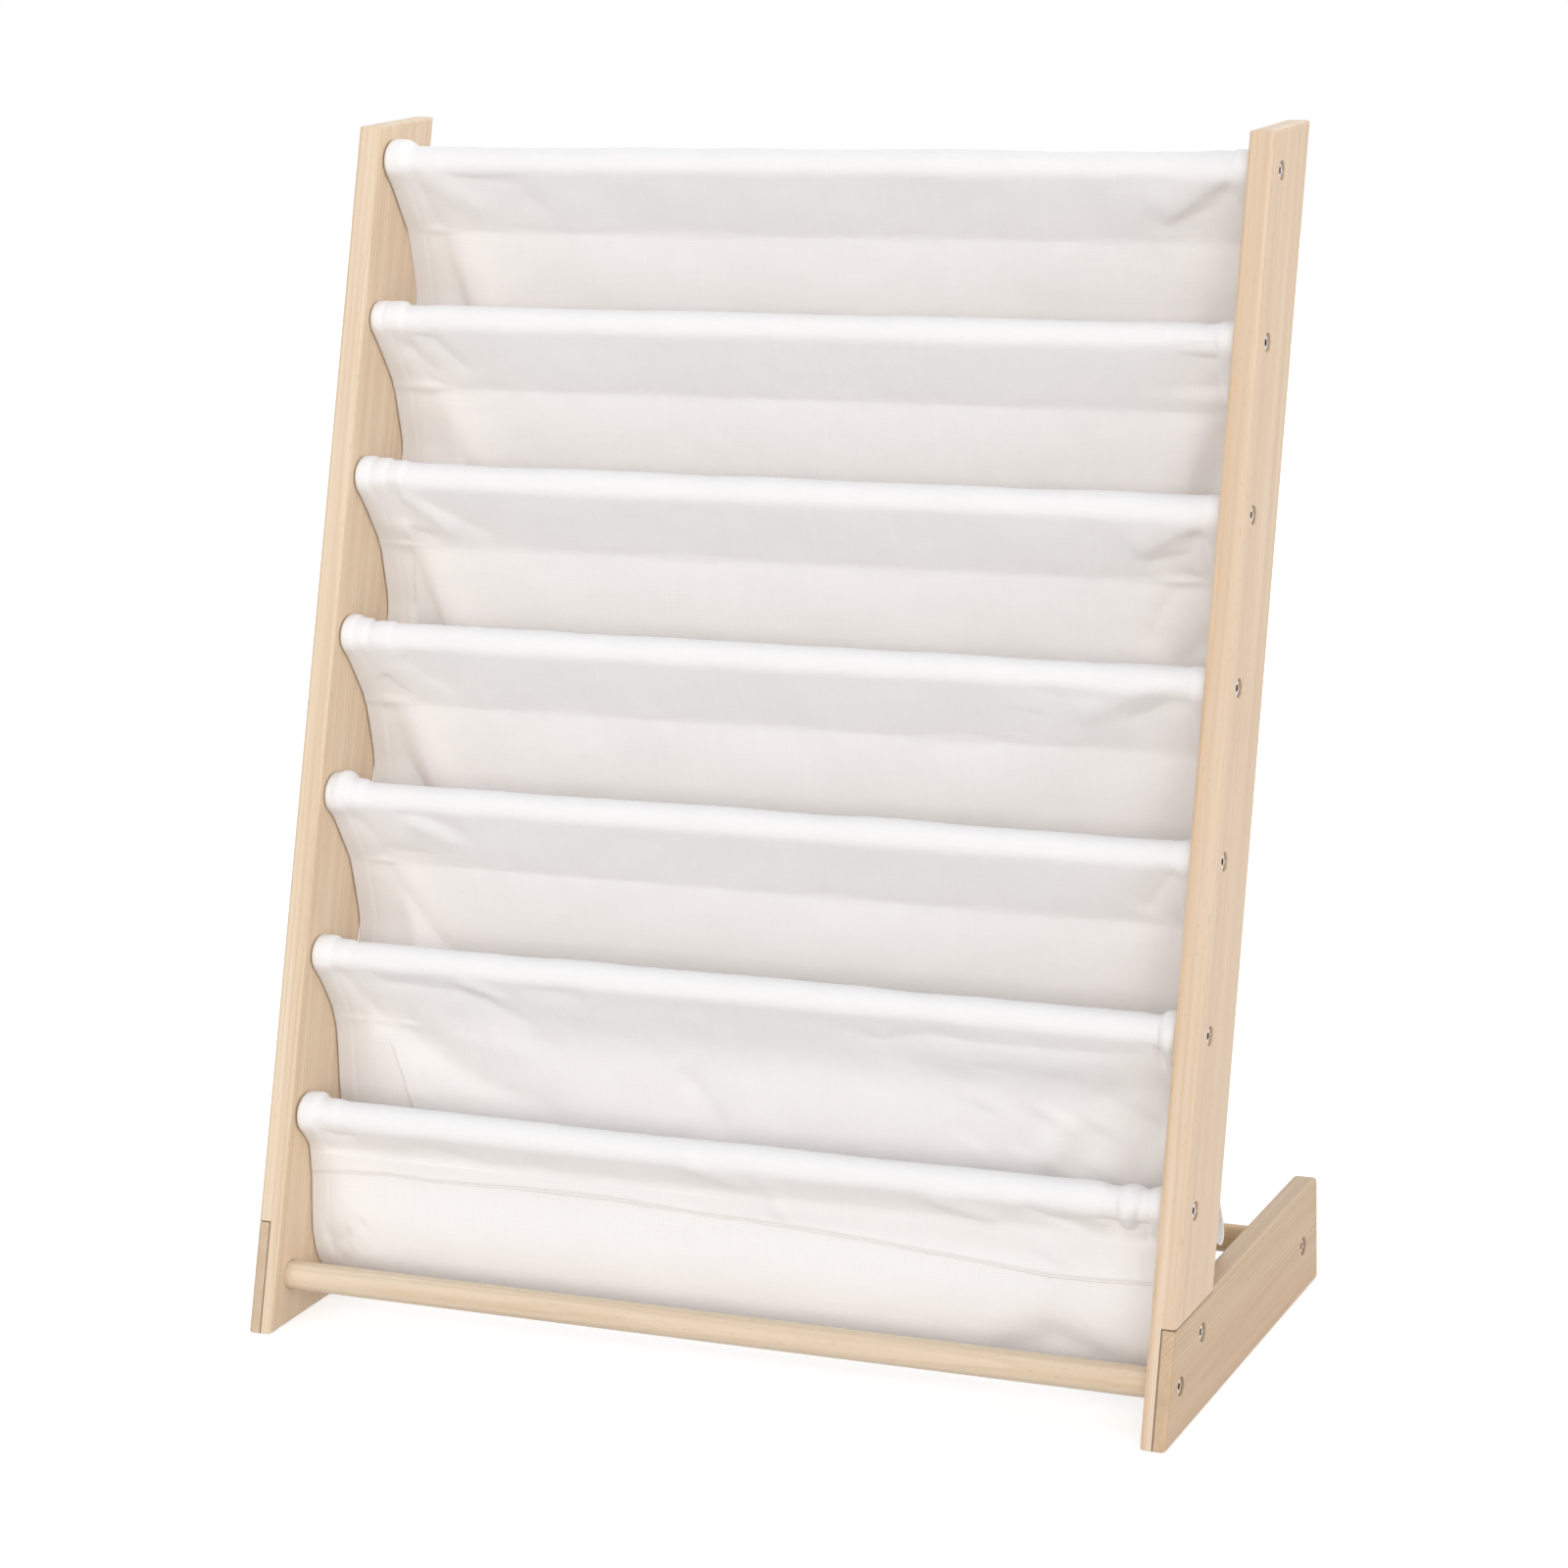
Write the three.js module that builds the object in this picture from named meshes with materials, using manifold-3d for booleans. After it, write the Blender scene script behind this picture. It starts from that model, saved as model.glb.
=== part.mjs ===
// A child's sling bookshelf: two leaning pine uprights half-lapped to two feet, joined by nine screwed
// dowels, with one length of white canvas sewn into sleeves and slung from dowel to dowel as six pockets.
// Millimetres and degrees. X runs along the dowels, -Y is the front, +Z is up, and the floor is z = 0.

import * as THREE from 'three';
import { mergeVertices } from 'three/addons/utils/BufferGeometryUtils.js';
import Module from 'manifold-3d';

const wasm = await Module();
wasm.setup();

// Overall sizes
const shelfWidth = 600;
const shelfHeight = 727;
const shelfDepth = 306;
const uprightLean = 17;

// Boards
const boardThickness = 16;
const uprightWidth = 68;
const footHeight = 66;
const edgeRound = 2.4;
const edgeRoundSteps = 2;
const jointGap = 0.3;
const cutOverrun = 5;

// Dowels: the front row runs parallel to the uprights' front edges
const dowelDiameter = 18;
const dowelSocketDepth = 5;
const dowelSides = 20;
const slungDowelCount = 7;
const dowelSetback = 19;
const bareDowelRise = 37;
const topDowelDrop = 19.5;
const rearDowelInset = 32;
const rearDowelRise = 31.5;

// Screws: a hexagon socket in a flat head that sits below the wood in a counterbore
const screwHeadDiameter = 10;
const screwHeadRim = 0.9;
const screwHeadTaper = 2.6;
const screwShankDiameter = 5;
const screwPointLength = 4;
const screwSink = 1.2;
const screwSides = 12;
const hexSocketWidth = 4;
const hexSocketDepth = 2;
const counterboreDiameter = 12;
const dowelScrewLength = 45;
const lapScrewLength = 12.5;
const lapScrewSetback = 70;
const lapScrewRise = 48;

// Canvas: each sleeve's two layers meet at a stitch line below and behind its dowel
const canvasThickness = 1.2;
const canvasEndGap = 3;
const seamDrop = 44;
const seamTrail = 14.3;
const lowSeamDrop = 38;
const lowSeamTrail = 3;
const layerGap = 1.5;
const rimRise = 2.2;
const rimWidth = 9;
const flankFoldRise = 2.5;
const flankFoldReach = 40;
const foldRise = 8;
const foldWidth = 20;
const foldStart = 16;
const foldSlant = 70;
const bellyDrop = 5;

// The second pocket's right end flares back at its bottom
const flaredPocket = 2;
const endFlare = 36;
const endFlareReach = 60;
const flareShare = 0.69;
const flareSpreadShare = 0.12;

// A pocket in the side view: down its back from the stitch line above, round its bottom and up its
// front. The places are shares of the dowel pitch, back and up from the dowel in front of the pocket.
const pocketBackShares = [
  [0.455, 0.38], [0.475, 0.28], [0.515, 0.08], [0.565, -0.18],
  [0.605, -0.48], [0.625, -0.78], [0.605, -1.06], [0.55, -1.3],
];
const pocketTurnShares = [[0.48, -1.41], [0.405, -1.42], [0.345, -1.31]];

// The lowest pocket hangs straighter and stops short of the floor, and nothing lies against its front
const lowPocketBackShares = [
  [0.425, 0.38], [0.425, 0.24], [0.42, 0.05], [0.42, -0.16],
  [0.425, -0.38], [0.425, -0.6], [0.405, -0.8], [0.365, -0.96],
];
const lowPocketTurnShares = [[0.29, -1.06], [0.185, -1.09], [0.085, -1.05]];
const lowPocketFrontShares = [[0.02, -0.94], [-0.015, -0.78], [0, -0.56]];

// Where the canvas is measured along its length, as shares of the way from an end to the middle
const panelStationShares = [0, 0.055, 0.11, 0.17, 0.26, 0.5, 1];
const sleeveStationShares = [0.14, 0.3, 1];
const flankSteps = 2;
const crownSteps = 7;
const crownArc = 240;

// Derived frame sizes
const lean = THREE.MathUtils.degToRad(uprightLean);
const frontEdgeLength = shelfHeight / Math.cos(lean);
const uprightRun = uprightWidth / Math.cos(lean);
const halfWidth = shelfWidth / 2;
const innerFace = halfWidth - boardThickness;
const lapFace = halfWidth - boardThickness / 2;
const dowelRadius = dowelDiameter / 2;
const dowelHalfLength = innerFace + dowelSocketDepth - jointGap;
const dowelPitch = (frontEdgeLength - bareDowelRise - topDowelDrop) / slungDowelCount;
const canvasHalfWidth = innerFace - canvasEndGap;

// A point of the side view, up along the upright's front edge and then back square to it
function onUpright(along, back) {
  return new THREE.Vector2(
    along * Math.sin(lean) + back * Math.cos(lean),
    along * Math.cos(lean) - back * Math.sin(lean),
  );
}

// Axes in the side view: the bare dowel is number 0 of the front row, and the slung ones are 1 and up
function frontDowelAxis(number) {
  return onUpright(bareDowelRise + number * dowelPitch, dowelSetback);
}

const frontDowelNumbers = Array.from({ length: slungDowelCount + 1 }, (_, number) => number);
const slungDowelNumbers = frontDowelNumbers.slice(1);
const rearDowelAxis = new THREE.Vector2(shelfDepth - rearDowelInset, rearDowelRise);
const dowelAxes = [...frontDowelNumbers.map(frontDowelAxis), rearDowelAxis];
const lapScrewAxis = new THREE.Vector2(lapScrewSetback, lapScrewRise);

// Materials
function finish(color, roughness, metalness = 0) {
  return new THREE.MeshStandardMaterial({ color, roughness, metalness });
}

const boardPine = () => finish(0xe6cda9, 0.55);
const dowelPine = () => finish(0xeacb9c, 0.5);
const zincedSteel = () => finish(0xb9b9b7, 0.35, 1);
const whiteCanvas = () => finish(0xf0edea, 0.9);

// Joining and cutting closed geometries
function toSolid(geometry) {
  const bare = geometry.clone();
  bare.deleteAttribute('normal');
  bare.deleteAttribute('uv');
  const merged = mergeVertices(bare);
  return new wasm.Manifold(new wasm.Mesh({
    numProp: 3,
    vertProperties: new Float32Array(merged.attributes.position.array),
    triVerts: new Uint32Array(merged.index.array),
  }));
}

function toGeometry(solid) {
  const mesh = solid.getMesh();
  return closedGeometry(mesh.vertProperties, mesh.triVerts);
}

function closedGeometry(positions, triangles) {
  const geometry = new THREE.BufferGeometry();
  geometry.setAttribute('position', new THREE.Float32BufferAttribute(positions, 3));
  geometry.setIndex(Array.from(triangles));
  geometry.computeVertexNormals();
  return geometry;
}

function cutAway(solid, cutters) {
  return cutters.reduce((rest, cutter) => rest.subtract(cutter), solid);
}

// The same piece for the other side: x changes sign and each triangle turns round to face out again
function mirrored(geometry) {
  const positions = geometry.attributes.position.array.map((value, i) => (i % 3 === 0 ? -value : value));
  const triangles = Array.from(geometry.index.array);
  for (let i = 0; i < triangles.length; i += 3) {
    [triangles[i], triangles[i + 1]] = [triangles[i + 1], triangles[i]];
  }
  return closedGeometry(positions, triangles);
}

// Outlines are drawn in the side view, y back and z up, and run along X
const sideView = new THREE.Matrix4().makeBasis(
  new THREE.Vector3(0, 1, 0),
  new THREE.Vector3(0, 0, 1),
  new THREE.Vector3(1, 0, 0),
);

function slabAlongX(outline, fromX, toX, round = 0) {
  const geometry = new THREE.ExtrudeGeometry(new THREE.Shape(outline), {
    depth: toX - fromX - 2 * round,
    bevelEnabled: round > 0,
    bevelThickness: round,
    bevelSize: round,
    bevelOffset: -round,
    bevelSegments: edgeRoundSteps,
  });
  geometry.translate(0, 0, fromX + round);
  return toSolid(geometry.applyMatrix4(sideView));
}

function barAlongX(fromX, toX, sides, axis, fromRadius, toRadius = fromRadius) {
  const geometry = new THREE.CylinderGeometry(toRadius, fromRadius, toX - fromX, sides);
  geometry.rotateZ(-Math.PI / 2);
  geometry.translate((fromX + toX) / 2, axis.x, axis.y);
  return toSolid(geometry);
}

// Holes in the right-hand boards
const screwHeadTop = halfWidth - screwSink;
const shankRadius = screwShankDiameter / 2;
const headRadius = screwHeadDiameter / 2;

function screwHole(axis, length) {
  const seatTop = screwHeadTop - screwHeadRim - jointGap;
  const seatFoot = seatTop - screwHeadTaper;
  const counterboreRadius = counterboreDiameter / 2;
  const holeRadius = shankRadius + jointGap;
  const mouth = barAlongX(seatTop, halfWidth + cutOverrun, screwSides, axis, counterboreRadius);
  const seat = barAlongX(seatFoot, seatTop, screwSides, axis, holeRadius, headRadius + jointGap);
  const shank = barAlongX(screwHeadTop - length - jointGap, seatTop, screwSides, axis, holeRadius);
  return mouth.add(seat).add(shank);
}

function dowelSocket(axis) {
  const socketFloor = innerFace + dowelSocketDepth;
  return barAlongX(innerFace - cutOverrun, socketFloor, dowelSides, axis, dowelRadius + jointGap);
}

const sideHoles = [
  ...dowelAxes.map(dowelSocket),
  ...dowelAxes.map((axis) => screwHole(axis, dowelScrewLength)),
  screwHole(lapScrewAxis, lapScrewLength),
];

// One side's outline, foot and upright together, which leaves the upright's edges rounded only where
// they show, with the foot in front of its lower end
const sideOutline = [
  new THREE.Vector2(0, 0),
  new THREE.Vector2(shelfDepth, 0),
  new THREE.Vector2(shelfDepth, footHeight),
  new THREE.Vector2(footHeight * Math.tan(lean) + uprightRun, footHeight),
  new THREE.Vector2(shelfHeight * Math.tan(lean) + uprightRun, shelfHeight),
  new THREE.Vector2(shelfHeight * Math.tan(lean), shelfHeight),
];
const roundedSide = slabAlongX(sideOutline, innerFace, halfWidth, edgeRound);

// The foot's own outline. Its outer edges are rounded all along, so the flush half-lap shows as a groove.
const footOutline = [
  new THREE.Vector2(0, 0),
  new THREE.Vector2(shelfDepth, 0),
  new THREE.Vector2(shelfDepth, footHeight),
  new THREE.Vector2(footHeight * Math.tan(lean), footHeight),
];
const roundedFoot = slabAlongX(footOutline, innerFace, halfWidth, edgeRound);

// The upright's back edge at a height, moved back by a gap square to the edge
function uprightBackAt(height, gap = 0) {
  return new THREE.Vector2(height * Math.tan(lean) + uprightRun + gap / Math.cos(lean), height);
}

const belowFloor = -cutOverrun;
const aboveTop = shelfHeight + cutOverrun;
const inFront = -cutOverrun / Math.cos(lean);
const behind = shelfDepth + uprightRun;

// The upright's inner half runs down to the floor, and its outer half stops on the foot
function uprightSolid() {
  const footSide = slabAlongX([
    uprightBackAt(belowFloor),
    new THREE.Vector2(behind, belowFloor),
    new THREE.Vector2(behind, aboveTop),
    uprightBackAt(aboveTop),
  ], innerFace - cutOverrun, halfWidth + cutOverrun);
  const shoulder = footHeight + jointGap;
  const lap = slabAlongX([
    new THREE.Vector2(inFront, belowFloor),
    new THREE.Vector2(behind, belowFloor),
    new THREE.Vector2(behind, shoulder),
    new THREE.Vector2(inFront, shoulder),
  ], lapFace - jointGap / 2, halfWidth + cutOverrun);
  return cutAway(roundedSide, [footSide, lap, ...sideHoles]);
}

// The foot's outer half runs to the front, and its inner half stops behind the upright
function footSolid() {
  const lap = slabAlongX([
    new THREE.Vector2(inFront, belowFloor),
    uprightBackAt(belowFloor, jointGap),
    uprightBackAt(aboveTop, jointGap),
    new THREE.Vector2(inFront, aboveTop),
  ], innerFace - cutOverrun, lapFace + jointGap / 2);
  return cutAway(roundedFoot, [lap, ...sideHoles]);
}

// A dowel with a pilot hole in each end grain, about its own middle
function dowelSolid() {
  const centre = new THREE.Vector2();
  const pilotFloor = screwHeadTop - dowelScrewLength - jointGap;
  const bar = barAlongX(-dowelHalfLength, dowelHalfLength, dowelSides, centre, dowelRadius);
  const holeRadius = shankRadius + jointGap;
  const pilotMouth = dowelHalfLength + cutOverrun;
  const rightPilot = barAlongX(pilotFloor, pilotMouth, screwSides, centre, holeRadius);
  const leftPilot = barAlongX(-pilotMouth, -pilotFloor, screwSides, centre, holeRadius);
  return cutAway(bar, [rightPilot, leftPilot]);
}

// A screw with its head's top at x = 0 and its point towards -X
function screwSolid(length) {
  const turned = new THREE.LatheGeometry([
    new THREE.Vector2(0, -length),
    new THREE.Vector2(shankRadius, screwPointLength - length),
    new THREE.Vector2(shankRadius, -screwHeadRim - screwHeadTaper),
    new THREE.Vector2(headRadius, -screwHeadRim),
    new THREE.Vector2(headRadius, 0),
    new THREE.Vector2(0, 0),
  ], screwSides);
  turned.rotateZ(-Math.PI / 2);
  const hexRadius = hexSocketWidth / Math.sqrt(3);
  const hexSocket = barAlongX(-hexSocketDepth, cutOverrun, 6, new THREE.Vector2(), hexRadius);
  return toSolid(turned).subtract(hexSocket);
}

// The canvas in the side view
function seamBelow(number) {
  const stitching = number === 1
    ? new THREE.Vector2(lowSeamTrail, -lowSeamDrop)
    : new THREE.Vector2(seamTrail, -seamDrop);
  return frontDowelAxis(number).add(stitching);
}

const layerShift = new THREE.Vector2((canvasThickness + jointGap) / 2, 0);
const panelDrop = new THREE.Vector2(0, -canvasThickness - jointGap);
const crownHalfStep = THREE.MathUtils.degToRad(crownArc / (2 * crownSteps));
const crownRadius = (dowelRadius + jointGap + canvasThickness / 2) / Math.cos(crownHalfStep);

function atShares(shares, number) {
  const dowel = frontDowelAxis(number);
  return shares.map(([back, up]) => dowel.clone().add(new THREE.Vector2(back, up).multiplyScalar(dowelPitch)));
}

function pocketPath(number) {
  const top = seamBelow(number + 1).sub(layerShift).add(panelDrop);
  const end = seamBelow(number).add(layerShift).add(panelDrop);
  if (number === 1) {
    const hanging = [lowPocketBackShares, lowPocketTurnShares, lowPocketFrontShares];
    return [top, ...hanging.flatMap((shares) => atShares(shares, number)), end];
  }
  const back = atShares(pocketBackShares, number);
  const turn = atShares(pocketTurnShares, number);
  const onPocketBelow = atShares(pocketBackShares.slice(0, lowPocketFrontShares.length), number - 1);
  const layerStep = new THREE.Vector2(canvasThickness + layerGap, 0);
  const front = onPocketBelow.map((point) => point.add(layerStep)).reverse();
  return [top, ...back, ...turn, ...front, end];
}

function sleevePath(number) {
  const dowel = frontDowelAxis(number);
  const seam = seamBelow(number);
  const frontFoot = seam.clone().sub(layerShift);
  const rearFoot = seam.clone().add(layerShift);
  const tangentAngle = (foot, side) => {
    const away = foot.clone().sub(dowel);
    return Math.atan2(away.y, away.x) + side * Math.acos(crownRadius / away.length());
  };
  const onCrown = (angle) => dowel.clone().add(
    new THREE.Vector2(Math.cos(angle), Math.sin(angle)).multiplyScalar(crownRadius),
  );
  const frontAngle = tangentAngle(frontFoot, -1) + 2 * Math.PI;
  const rearAngle = tangentAngle(rearFoot, 1);
  const path = [];
  for (let step = 0; step < flankSteps; step += 1) {
    path.push(frontFoot.clone().lerp(onCrown(frontAngle), step / flankSteps));
  }
  for (let step = 0; step <= crownSteps; step += 1) {
    path.push(onCrown(THREE.MathUtils.lerp(frontAngle, rearAngle, step / crownSteps)));
  }
  for (let step = 1; step <= flankSteps; step += 1) {
    path.push(onCrown(rearAngle).lerp(rearFoot, step / flankSteps));
  }
  return path;
}

// The direction square to a path at one of its points, long enough to keep a mitred offset even
function mitreAt(path, index, closed) {
  const count = path.length;
  const before = path[closed ? (index + count - 1) % count : Math.max(index - 1, 0)];
  const after = path[closed ? (index + 1) % count : Math.min(index + 1, count - 1)];
  const normals = [[before, path[index]], [path[index], after]]
    .map(([from, to]) => to.clone().sub(from).normalize())
    .filter((edge) => edge.lengthSq() > 0)
    .map((edge) => new THREE.Vector2(-edge.y, edge.x));
  const sum = normals.reduce((total, normal) => total.add(normal), new THREE.Vector2());
  return sum.multiplyScalar(normals.length / sum.lengthSq());
}

// A sheet of even thickness through rings of side-view points, one ring pair at each station along X
function sheetGeometry(stations, ringPairAt, closed) {
  const positions = [];
  const triangles = [];
  const count = ringPairAt(stations[0]).left.length;
  stations.forEach((x) => {
    const { left, right } = ringPairAt(x);
    [...left, ...right].forEach((point) => positions.push(x, point.x, point.y));
  });
  const leftOf = (station, index) => station * 2 * count + index % count;
  const rightOf = (station, index) => leftOf(station, index) + count;
  const addQuad = (a, b, c, d) => triangles.push(a, c, b, a, d, c);
  const steps = closed ? count : count - 1;
  const last = stations.length - 1;
  for (let station = 0; station < last; station += 1) {
    for (let index = 0; index < steps; index += 1) {
      addQuad(
        leftOf(station, index), leftOf(station, index + 1),
        leftOf(station + 1, index + 1), leftOf(station + 1, index),
      );
      addQuad(
        rightOf(station + 1, index), rightOf(station + 1, index + 1),
        rightOf(station, index + 1), rightOf(station, index),
      );
    }
    if (!closed) {
      addQuad(
        rightOf(station, 0), leftOf(station, 0), leftOf(station + 1, 0), rightOf(station + 1, 0),
      );
      addQuad(
        leftOf(station, steps), rightOf(station, steps),
        rightOf(station + 1, steps), leftOf(station + 1, steps),
      );
    }
  }
  for (let index = 0; index < steps; index += 1) {
    addQuad(leftOf(0, index + 1), leftOf(0, index), rightOf(0, index), rightOf(0, index + 1));
    addQuad(
      leftOf(last, index), leftOf(last, index + 1), rightOf(last, index + 1), rightOf(last, index),
    );
  }
  return closedGeometry(positions, triangles);
}

function stationsAlongX(fromEnd) {
  const rightHalf = fromEnd.map((distance) => canvasHalfWidth - distance).reverse();
  const leftHalf = rightHalf.slice(1).map((x) => -x).reverse();
  return [...leftHalf, ...rightHalf];
}

function bump(value, centre, width) {
  return Math.exp(-(((value - centre) / width) ** 2));
}

function endFlareAt(number, share, fromRightEnd) {
  if (number !== flaredPocket) return 0;
  return endFlare * bump(share, flareShare, flareSpreadShare) * bump(fromRightEnd, 0, endFlareReach);
}

// A pocket: a slanting fold stands forward on its back panel near each end, and its belly hangs lower
function pocketGeometry(number) {
  const path = pocketPath(number);
  const mitres = path.map((_, index) => mitreAt(path, index, false));
  const ringPairAt = (x) => {
    const fromEnd = canvasHalfWidth - Math.abs(x);
    const belly = bellyDrop * (1 - (x / canvasHalfWidth) ** 2);
    const bent = path.map((point, index) => {
      const share = index / (path.length - 1);
      const hang = Math.sin(Math.PI * share);
      const onBack = Math.max(Math.cos(Math.PI * share), 0) * hang * 2;
      const fold = foldRise * onBack * bump(fromEnd, foldStart + foldSlant * share, foldWidth);
      const flare = endFlareAt(number, share, canvasHalfWidth - x);
      return new THREE.Vector2(point.x - fold + flare, point.y - belly * hang ** 2);
    });
    const half = canvasThickness / 2;
    return {
      left: bent.map((point, index) => point.clone().addScaledVector(mitres[index], half)),
      right: bent.map((point, index) => point.clone().addScaledVector(mitres[index], -half)),
    };
  };
  const stations = stationsAlongX(panelStationShares.map((share) => share * canvasHalfWidth));
  return sheetGeometry(stations, ringPairAt, false);
}

// A sleeve: its end hems are thicker, and its front flank stands out in a fold beside each hem
function sleeveGeometry(number) {
  const path = sleevePath(number);
  const mitres = path.map((_, index) => mitreAt(path, index, true));
  const ringPairAt = (x) => {
    const fromEnd = canvasHalfWidth - Math.abs(x);
    const rim = fromEnd <= rimWidth ? rimRise : 0;
    const half = canvasThickness / 2;
    const flank = flankFoldRise * bump(fromEnd, flankFoldReach, flankFoldReach / 2);
    const outward = (index) => {
      if (index === 0 || index === path.length - 1) return half;
      const onFrontFlank = index < flankSteps ? flank : 0;
      return half + rim + onFrontFlank;
    };
    const inward = (index) => (index > 0 && index < flankSteps ? flank - half : -half);
    return {
      left: path.map((point, index) => point.clone().addScaledVector(mitres[index], outward(index))),
      right: path.map((point, index) => point.clone().addScaledVector(mitres[index], inward(index))),
    };
  };
  const fromEnd = [0, rimWidth, rimWidth + rimRise];
  fromEnd.push(...sleeveStationShares.map((share) => share * canvasHalfWidth));
  return sheetGeometry(stationsAlongX(fromEnd), ringPairAt, true);
}

// Assembly
const group = new THREE.Group();
group.name = 'sling_bookshelf';
group.position.y = -shelfDepth / 2;

function addPiece(name, geometry, material, parent = group) {
  const mesh = new THREE.Mesh(geometry, material);
  mesh.name = name;
  parent.add(mesh);
  return mesh;
}

function addBoards() {
  const upright = toGeometry(uprightSolid());
  const foot = toGeometry(footSolid());
  addPiece('upright_right', upright, boardPine());
  addPiece('foot_right', foot, boardPine());
  addPiece('upright_left', mirrored(upright), boardPine());
  addPiece('foot_left', mirrored(foot), boardPine());
}

function addDowels() {
  const geometry = toGeometry(dowelSolid());
  const names = frontDowelNumbers.map((number) => (number === 0 ? 'dowel_bare' : `dowel_slung_${number}`));
  [...names, 'dowel_rear'].forEach((name, index) => {
    const dowel = addPiece(name, geometry, dowelPine());
    dowel.position.set(0, dowelAxes[index].x, dowelAxes[index].y);
  });
}

function addScrewPair(name, axis, geometry) {
  const right = addPiece(`${name}_right`, geometry, zincedSteel());
  right.position.set(screwHeadTop, axis.x, axis.y);
  const left = addPiece(`${name}_left`, geometry, zincedSteel());
  left.position.set(-screwHeadTop, axis.x, axis.y);
  left.rotation.y = Math.PI;
}

function addScrews() {
  const dowelScrew = toGeometry(screwSolid(dowelScrewLength));
  frontDowelNumbers.forEach((number) => addScrewPair(`screw_front_${number}`, dowelAxes[number], dowelScrew));
  addScrewPair('screw_rear', rearDowelAxis, dowelScrew);
  addScrewPair('screw_lap', lapScrewAxis, toGeometry(screwSolid(lapScrewLength)));
}

function addCanvas() {
  slungDowelNumbers.forEach((number) => addPiece(`sleeve_${number}`, sleeveGeometry(number), whiteCanvas()));
  slungDowelNumbers.slice(0, -1).forEach((number) => {
    addPiece(`pocket_${number}`, pocketGeometry(number), whiteCanvas());
  });
}

addBoards();
addDowels();
addScrews();
addCanvas();

export default group;
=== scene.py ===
"""Visual model of a child's sling bookshelf: pale pine sides on feet, screwed dowels, and white
cotton canvas slung from dowel to dowel. The meshes are in metres, with +X to the right along the
dowels, +Y to the back and +Z up. Sizes and the cloth's tables are in millimetres.
"""
from math import cos, pi, radians, sin

import bmesh
import bpy
import numpy as np
from mathutils import Matrix, Vector


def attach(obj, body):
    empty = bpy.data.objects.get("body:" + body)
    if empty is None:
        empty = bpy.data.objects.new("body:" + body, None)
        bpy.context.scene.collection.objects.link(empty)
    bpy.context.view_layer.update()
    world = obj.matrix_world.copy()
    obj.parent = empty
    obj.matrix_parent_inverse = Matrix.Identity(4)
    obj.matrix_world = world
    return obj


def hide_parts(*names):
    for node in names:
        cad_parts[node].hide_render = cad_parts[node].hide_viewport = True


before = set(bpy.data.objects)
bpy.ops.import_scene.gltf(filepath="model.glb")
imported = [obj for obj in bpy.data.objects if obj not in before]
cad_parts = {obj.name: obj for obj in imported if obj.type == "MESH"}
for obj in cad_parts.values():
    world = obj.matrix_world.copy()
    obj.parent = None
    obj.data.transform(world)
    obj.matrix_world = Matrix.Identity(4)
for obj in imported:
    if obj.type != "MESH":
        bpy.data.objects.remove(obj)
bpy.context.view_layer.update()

MM = 0.001

# The frame's sizes, in millimetres, as the solids have them
SHELF_WIDTH = 600.0
SHELF_HEIGHT = 727.0
SHELF_DEPTH = 306.0
LEAN = radians(17.0)
BOARD = 16.0
UPRIGHT_DEPTH = 68.0
FOOT_HEIGHT = 66.0
FRONT_EDGE = SHELF_HEIGHT / cos(LEAN)
DOWEL_SETBACK = 19.0
BARE_RISE = 37.0
TOP_DROP = 19.5
SLUNG = 7
PITCH = (FRONT_EDGE - BARE_RISE - TOP_DROP) / SLUNG
REAR_DOWEL = (274.0, 31.5)
LAP_SCREW = (70.0, 48.0)
DOWEL_RADIUS = 9.0
DOWEL_HALF = SHELF_WIDTH / 2 - BOARD + 4.7
SCREW_SINK = 1.2
DOWEL_SCREW = 45.0
LAP_SCREW_LENGTH = 12.5
CLOTH_HALF = 283.3
SEAM = (14.3, -44.0)
LOW_SEAM = (3.0, -38.0)
LAYER_SHIFT = 0.75
LAYER_STEP = 2.7

# The pockets in the side view, as shares of the pitch back and up from the dowel in front
POCKET_BACK = [(0.455, 0.38), (0.475, 0.28), (0.515, 0.08), (0.565, -0.18),
               (0.605, -0.48), (0.625, -0.78), (0.605, -1.06), (0.55, -1.3)]
POCKET_TURN = [(0.48, -1.41), (0.405, -1.42), (0.345, -1.31)]
LOW_BACK = [(0.425, 0.38), (0.425, 0.24), (0.42, 0.05), (0.42, -0.16),
            (0.425, -0.38), (0.425, -0.6), (0.405, -0.8), (0.365, -0.96)]
LOW_TURN = [(0.29, -1.06), (0.185, -1.09), (0.085, -1.05)]
LOW_FRONT = [(0.02, -0.94), (-0.015, -0.78), (0.0, -0.56)]


def on_upright(along, back):
    """A point of the side view, along the leaning front edge and then back square to it."""
    return np.array([along * sin(LEAN) + back * cos(LEAN), along * cos(LEAN) - back * sin(LEAN)])


def front_dowel(number):
    """The axis of a dowel of the front row, counted from the bare one."""
    return on_upright(BARE_RISE + number * PITCH, DOWEL_SETBACK)


def to_frame(y, z):
    """Side-view millimetres to the frame's metres."""
    return (y - SHELF_DEPTH / 2) * MM, z * MM


# Meshes

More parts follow.
